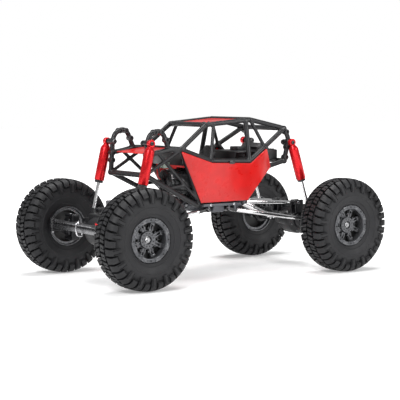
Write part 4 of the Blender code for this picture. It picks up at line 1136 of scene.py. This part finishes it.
def steering_rod(name, body, y0, y1, z, node):
    rod, ends, balls = Build(), Build(), Build()
    tip = STEERING_TIP
    near, far = sorted((y0, y1))
    rod.rod((tip, near + 9.0, z), (tip, far - 9.0, z), 2.3, sides=20)
    for y, inward in ((near, 1), (far, -1)):
        ring = both_ends([(0.2, 2.4), (0.0, 3.1), (0.5, 3.5)], 6.0)
        ends.turn((tip, y, z - 3.0), (tip, y, z + 3.0), ring, 24, closed=True)
        ends.rod((tip, y + inward * 2.8, z), (tip, y + inward * 12.0, z), 2.5, 2.9)
        balls.ball((tip, y, z), 2.8)
    if body == "tie_rod":
        rod.box((tip - 3.0, near + 11.0, z - 3.0), (tip + 3.0, far - 11.0, z + 3.0), 0.6)
    piece(f"{name}_bar", rod, GUNMETAL, body, node)
    piece(f"{name}_ends", ends, NYLON_SATIN, body)
    piece(f"{name}_balls", balls, STEEL, body)


def build_steering():
    x = AXLE_X
    steering_rod("steering_tie", "tie_rod", -KINGPIN_Y, KINGPIN_Y, TIE_ROD_Z, "tie_rod")
    steering_rod("steering_drag", "drag_link", -KINGPIN_Y, SERVO_Y, DRAG_LINK_Z, "drag_link")
    hook = Build()
    wire = [(STEERING_TIP + ahead, y, z) for ahead, y, z in (
        (4.3, -4.0, 75.0), (7.6, -4.0, 74.0), (8.4, -3.0, 66.0), (7.0, -2.0, 59.0), (0.0, -2.0, 58.6),
        (0.0, -2.0, 63.0))]
    hook.tube(wire, 1.1, 4.0, 12)
    hook.ball(wire[0], 1.9)
    piece("steering_wire_hook", hook, STEEL, "tie_rod")
    horn = Build()
    horn.rod((x, SERVO_Y, 75.3), (x, SERVO_Y, 80.0), 4.2)
    horn.plate([(0, -3.4), (24, -2.4), (26, 0), (24, 2.4), (0, 3.4)], 2.7,
               Matrix.Translation(vec((x, SERVO_Y, 76.65))), 0.4)
    horn.rod((STEERING_TIP, SERVO_Y, 75.3), (STEERING_TIP, SERVO_Y, 78.0), 3.4)
    piece("servo_arm", horn, RED_METAL, "servo_horn", "servo_horn")
    servo = Build()
    low, high = SERVO_Y - SERVO_HALF, SERVO_Y + SERVO_HALF
    for base, top, bevel in ((84.6, 90.0, 1.0), (90.3, 100.0, 0.8), (100.3, 105.0, 1.2)):
        servo.box((x - 30.5, low, base), (x + 9.5, high, top), bevel, 3)
    servo.box((x - 30.1, low + 0.4, 86.0), (x + 9.1, high - 0.4, 104.0), 0.8, 2)
    servo.box((x - 37.5, low, 88.0), (x + 16.5, high, 90.5), 0.6)
    servo.rod((x, SERVO_Y, 80.4), (x, SERVO_Y, 86.0), 5.0, sides=32)
    piece("servo_case", servo, SERVO_GREY, "front_axle", "steering_servo")
    screws = Build()
    for y in (SERVO_Y - 5.0, SERVO_Y + 5.0):
        for across in (x - 34.2, x + 13.2):
            screws.screw((across, y, 90.4), (0, 0, 1), 1.7, 1.1)
        for across in (x - 28.0, x + 7.0):
            screws.screw((across, y, 104.7), (0, 0, 1), 1.2, 0.25)
    piece("servo_screws", screws, GUNMETAL, "front_axle")
    wire = Build()
    path = [(x - 30.2, SERVO_Y, 99.0), (x - 36.0, SERVO_Y - 5.0, 101.5), (x - 36.0, 14.0, 101.5),
            (x - 24.0, 5.0, 83.0)]
    wire.tube(path, 1.2, 6.0, 10)
    piece("servo_lead", wire, WIRE_BLACK, "front_axle")


def build_rear_axle():
    cast, screws = axle_castings(92.0, 20.5)
    for side in (1, -1):
        cast.rod(on_axle(side * 77.0), on_axle(side * 82.0), 11.0, bevel=0.8, sides=32)
        for ahead, above in circle(4, 8.6, 0.5):
            screws.screw((AXLE_X + ahead, side * 81.8, AXLE_Z + above), (0, side, 0), 1.3, 1.0)
        screws.rod(on_axle(side * 90.0), on_axle(side * 106.5), 3.0)
    cast = cast.fused(0.9, 2)
    piece("rear_axle_casting", cast.copy(FLIP_X), NYLON, "rear_axle", "rear_axle_housing", crease=50.0)
    piece("rear_axle_screws", screws.copy(FLIP_X), GUNMETAL, "rear_axle")


build_stage()
build_wheels()
build_cage()
build_panels()
build_skid()
build_cabin()
build_electrics()
build_drive_train()
build_links()
build_driveshafts()
build_shocks()
build_front_axle()
build_rear_axle()
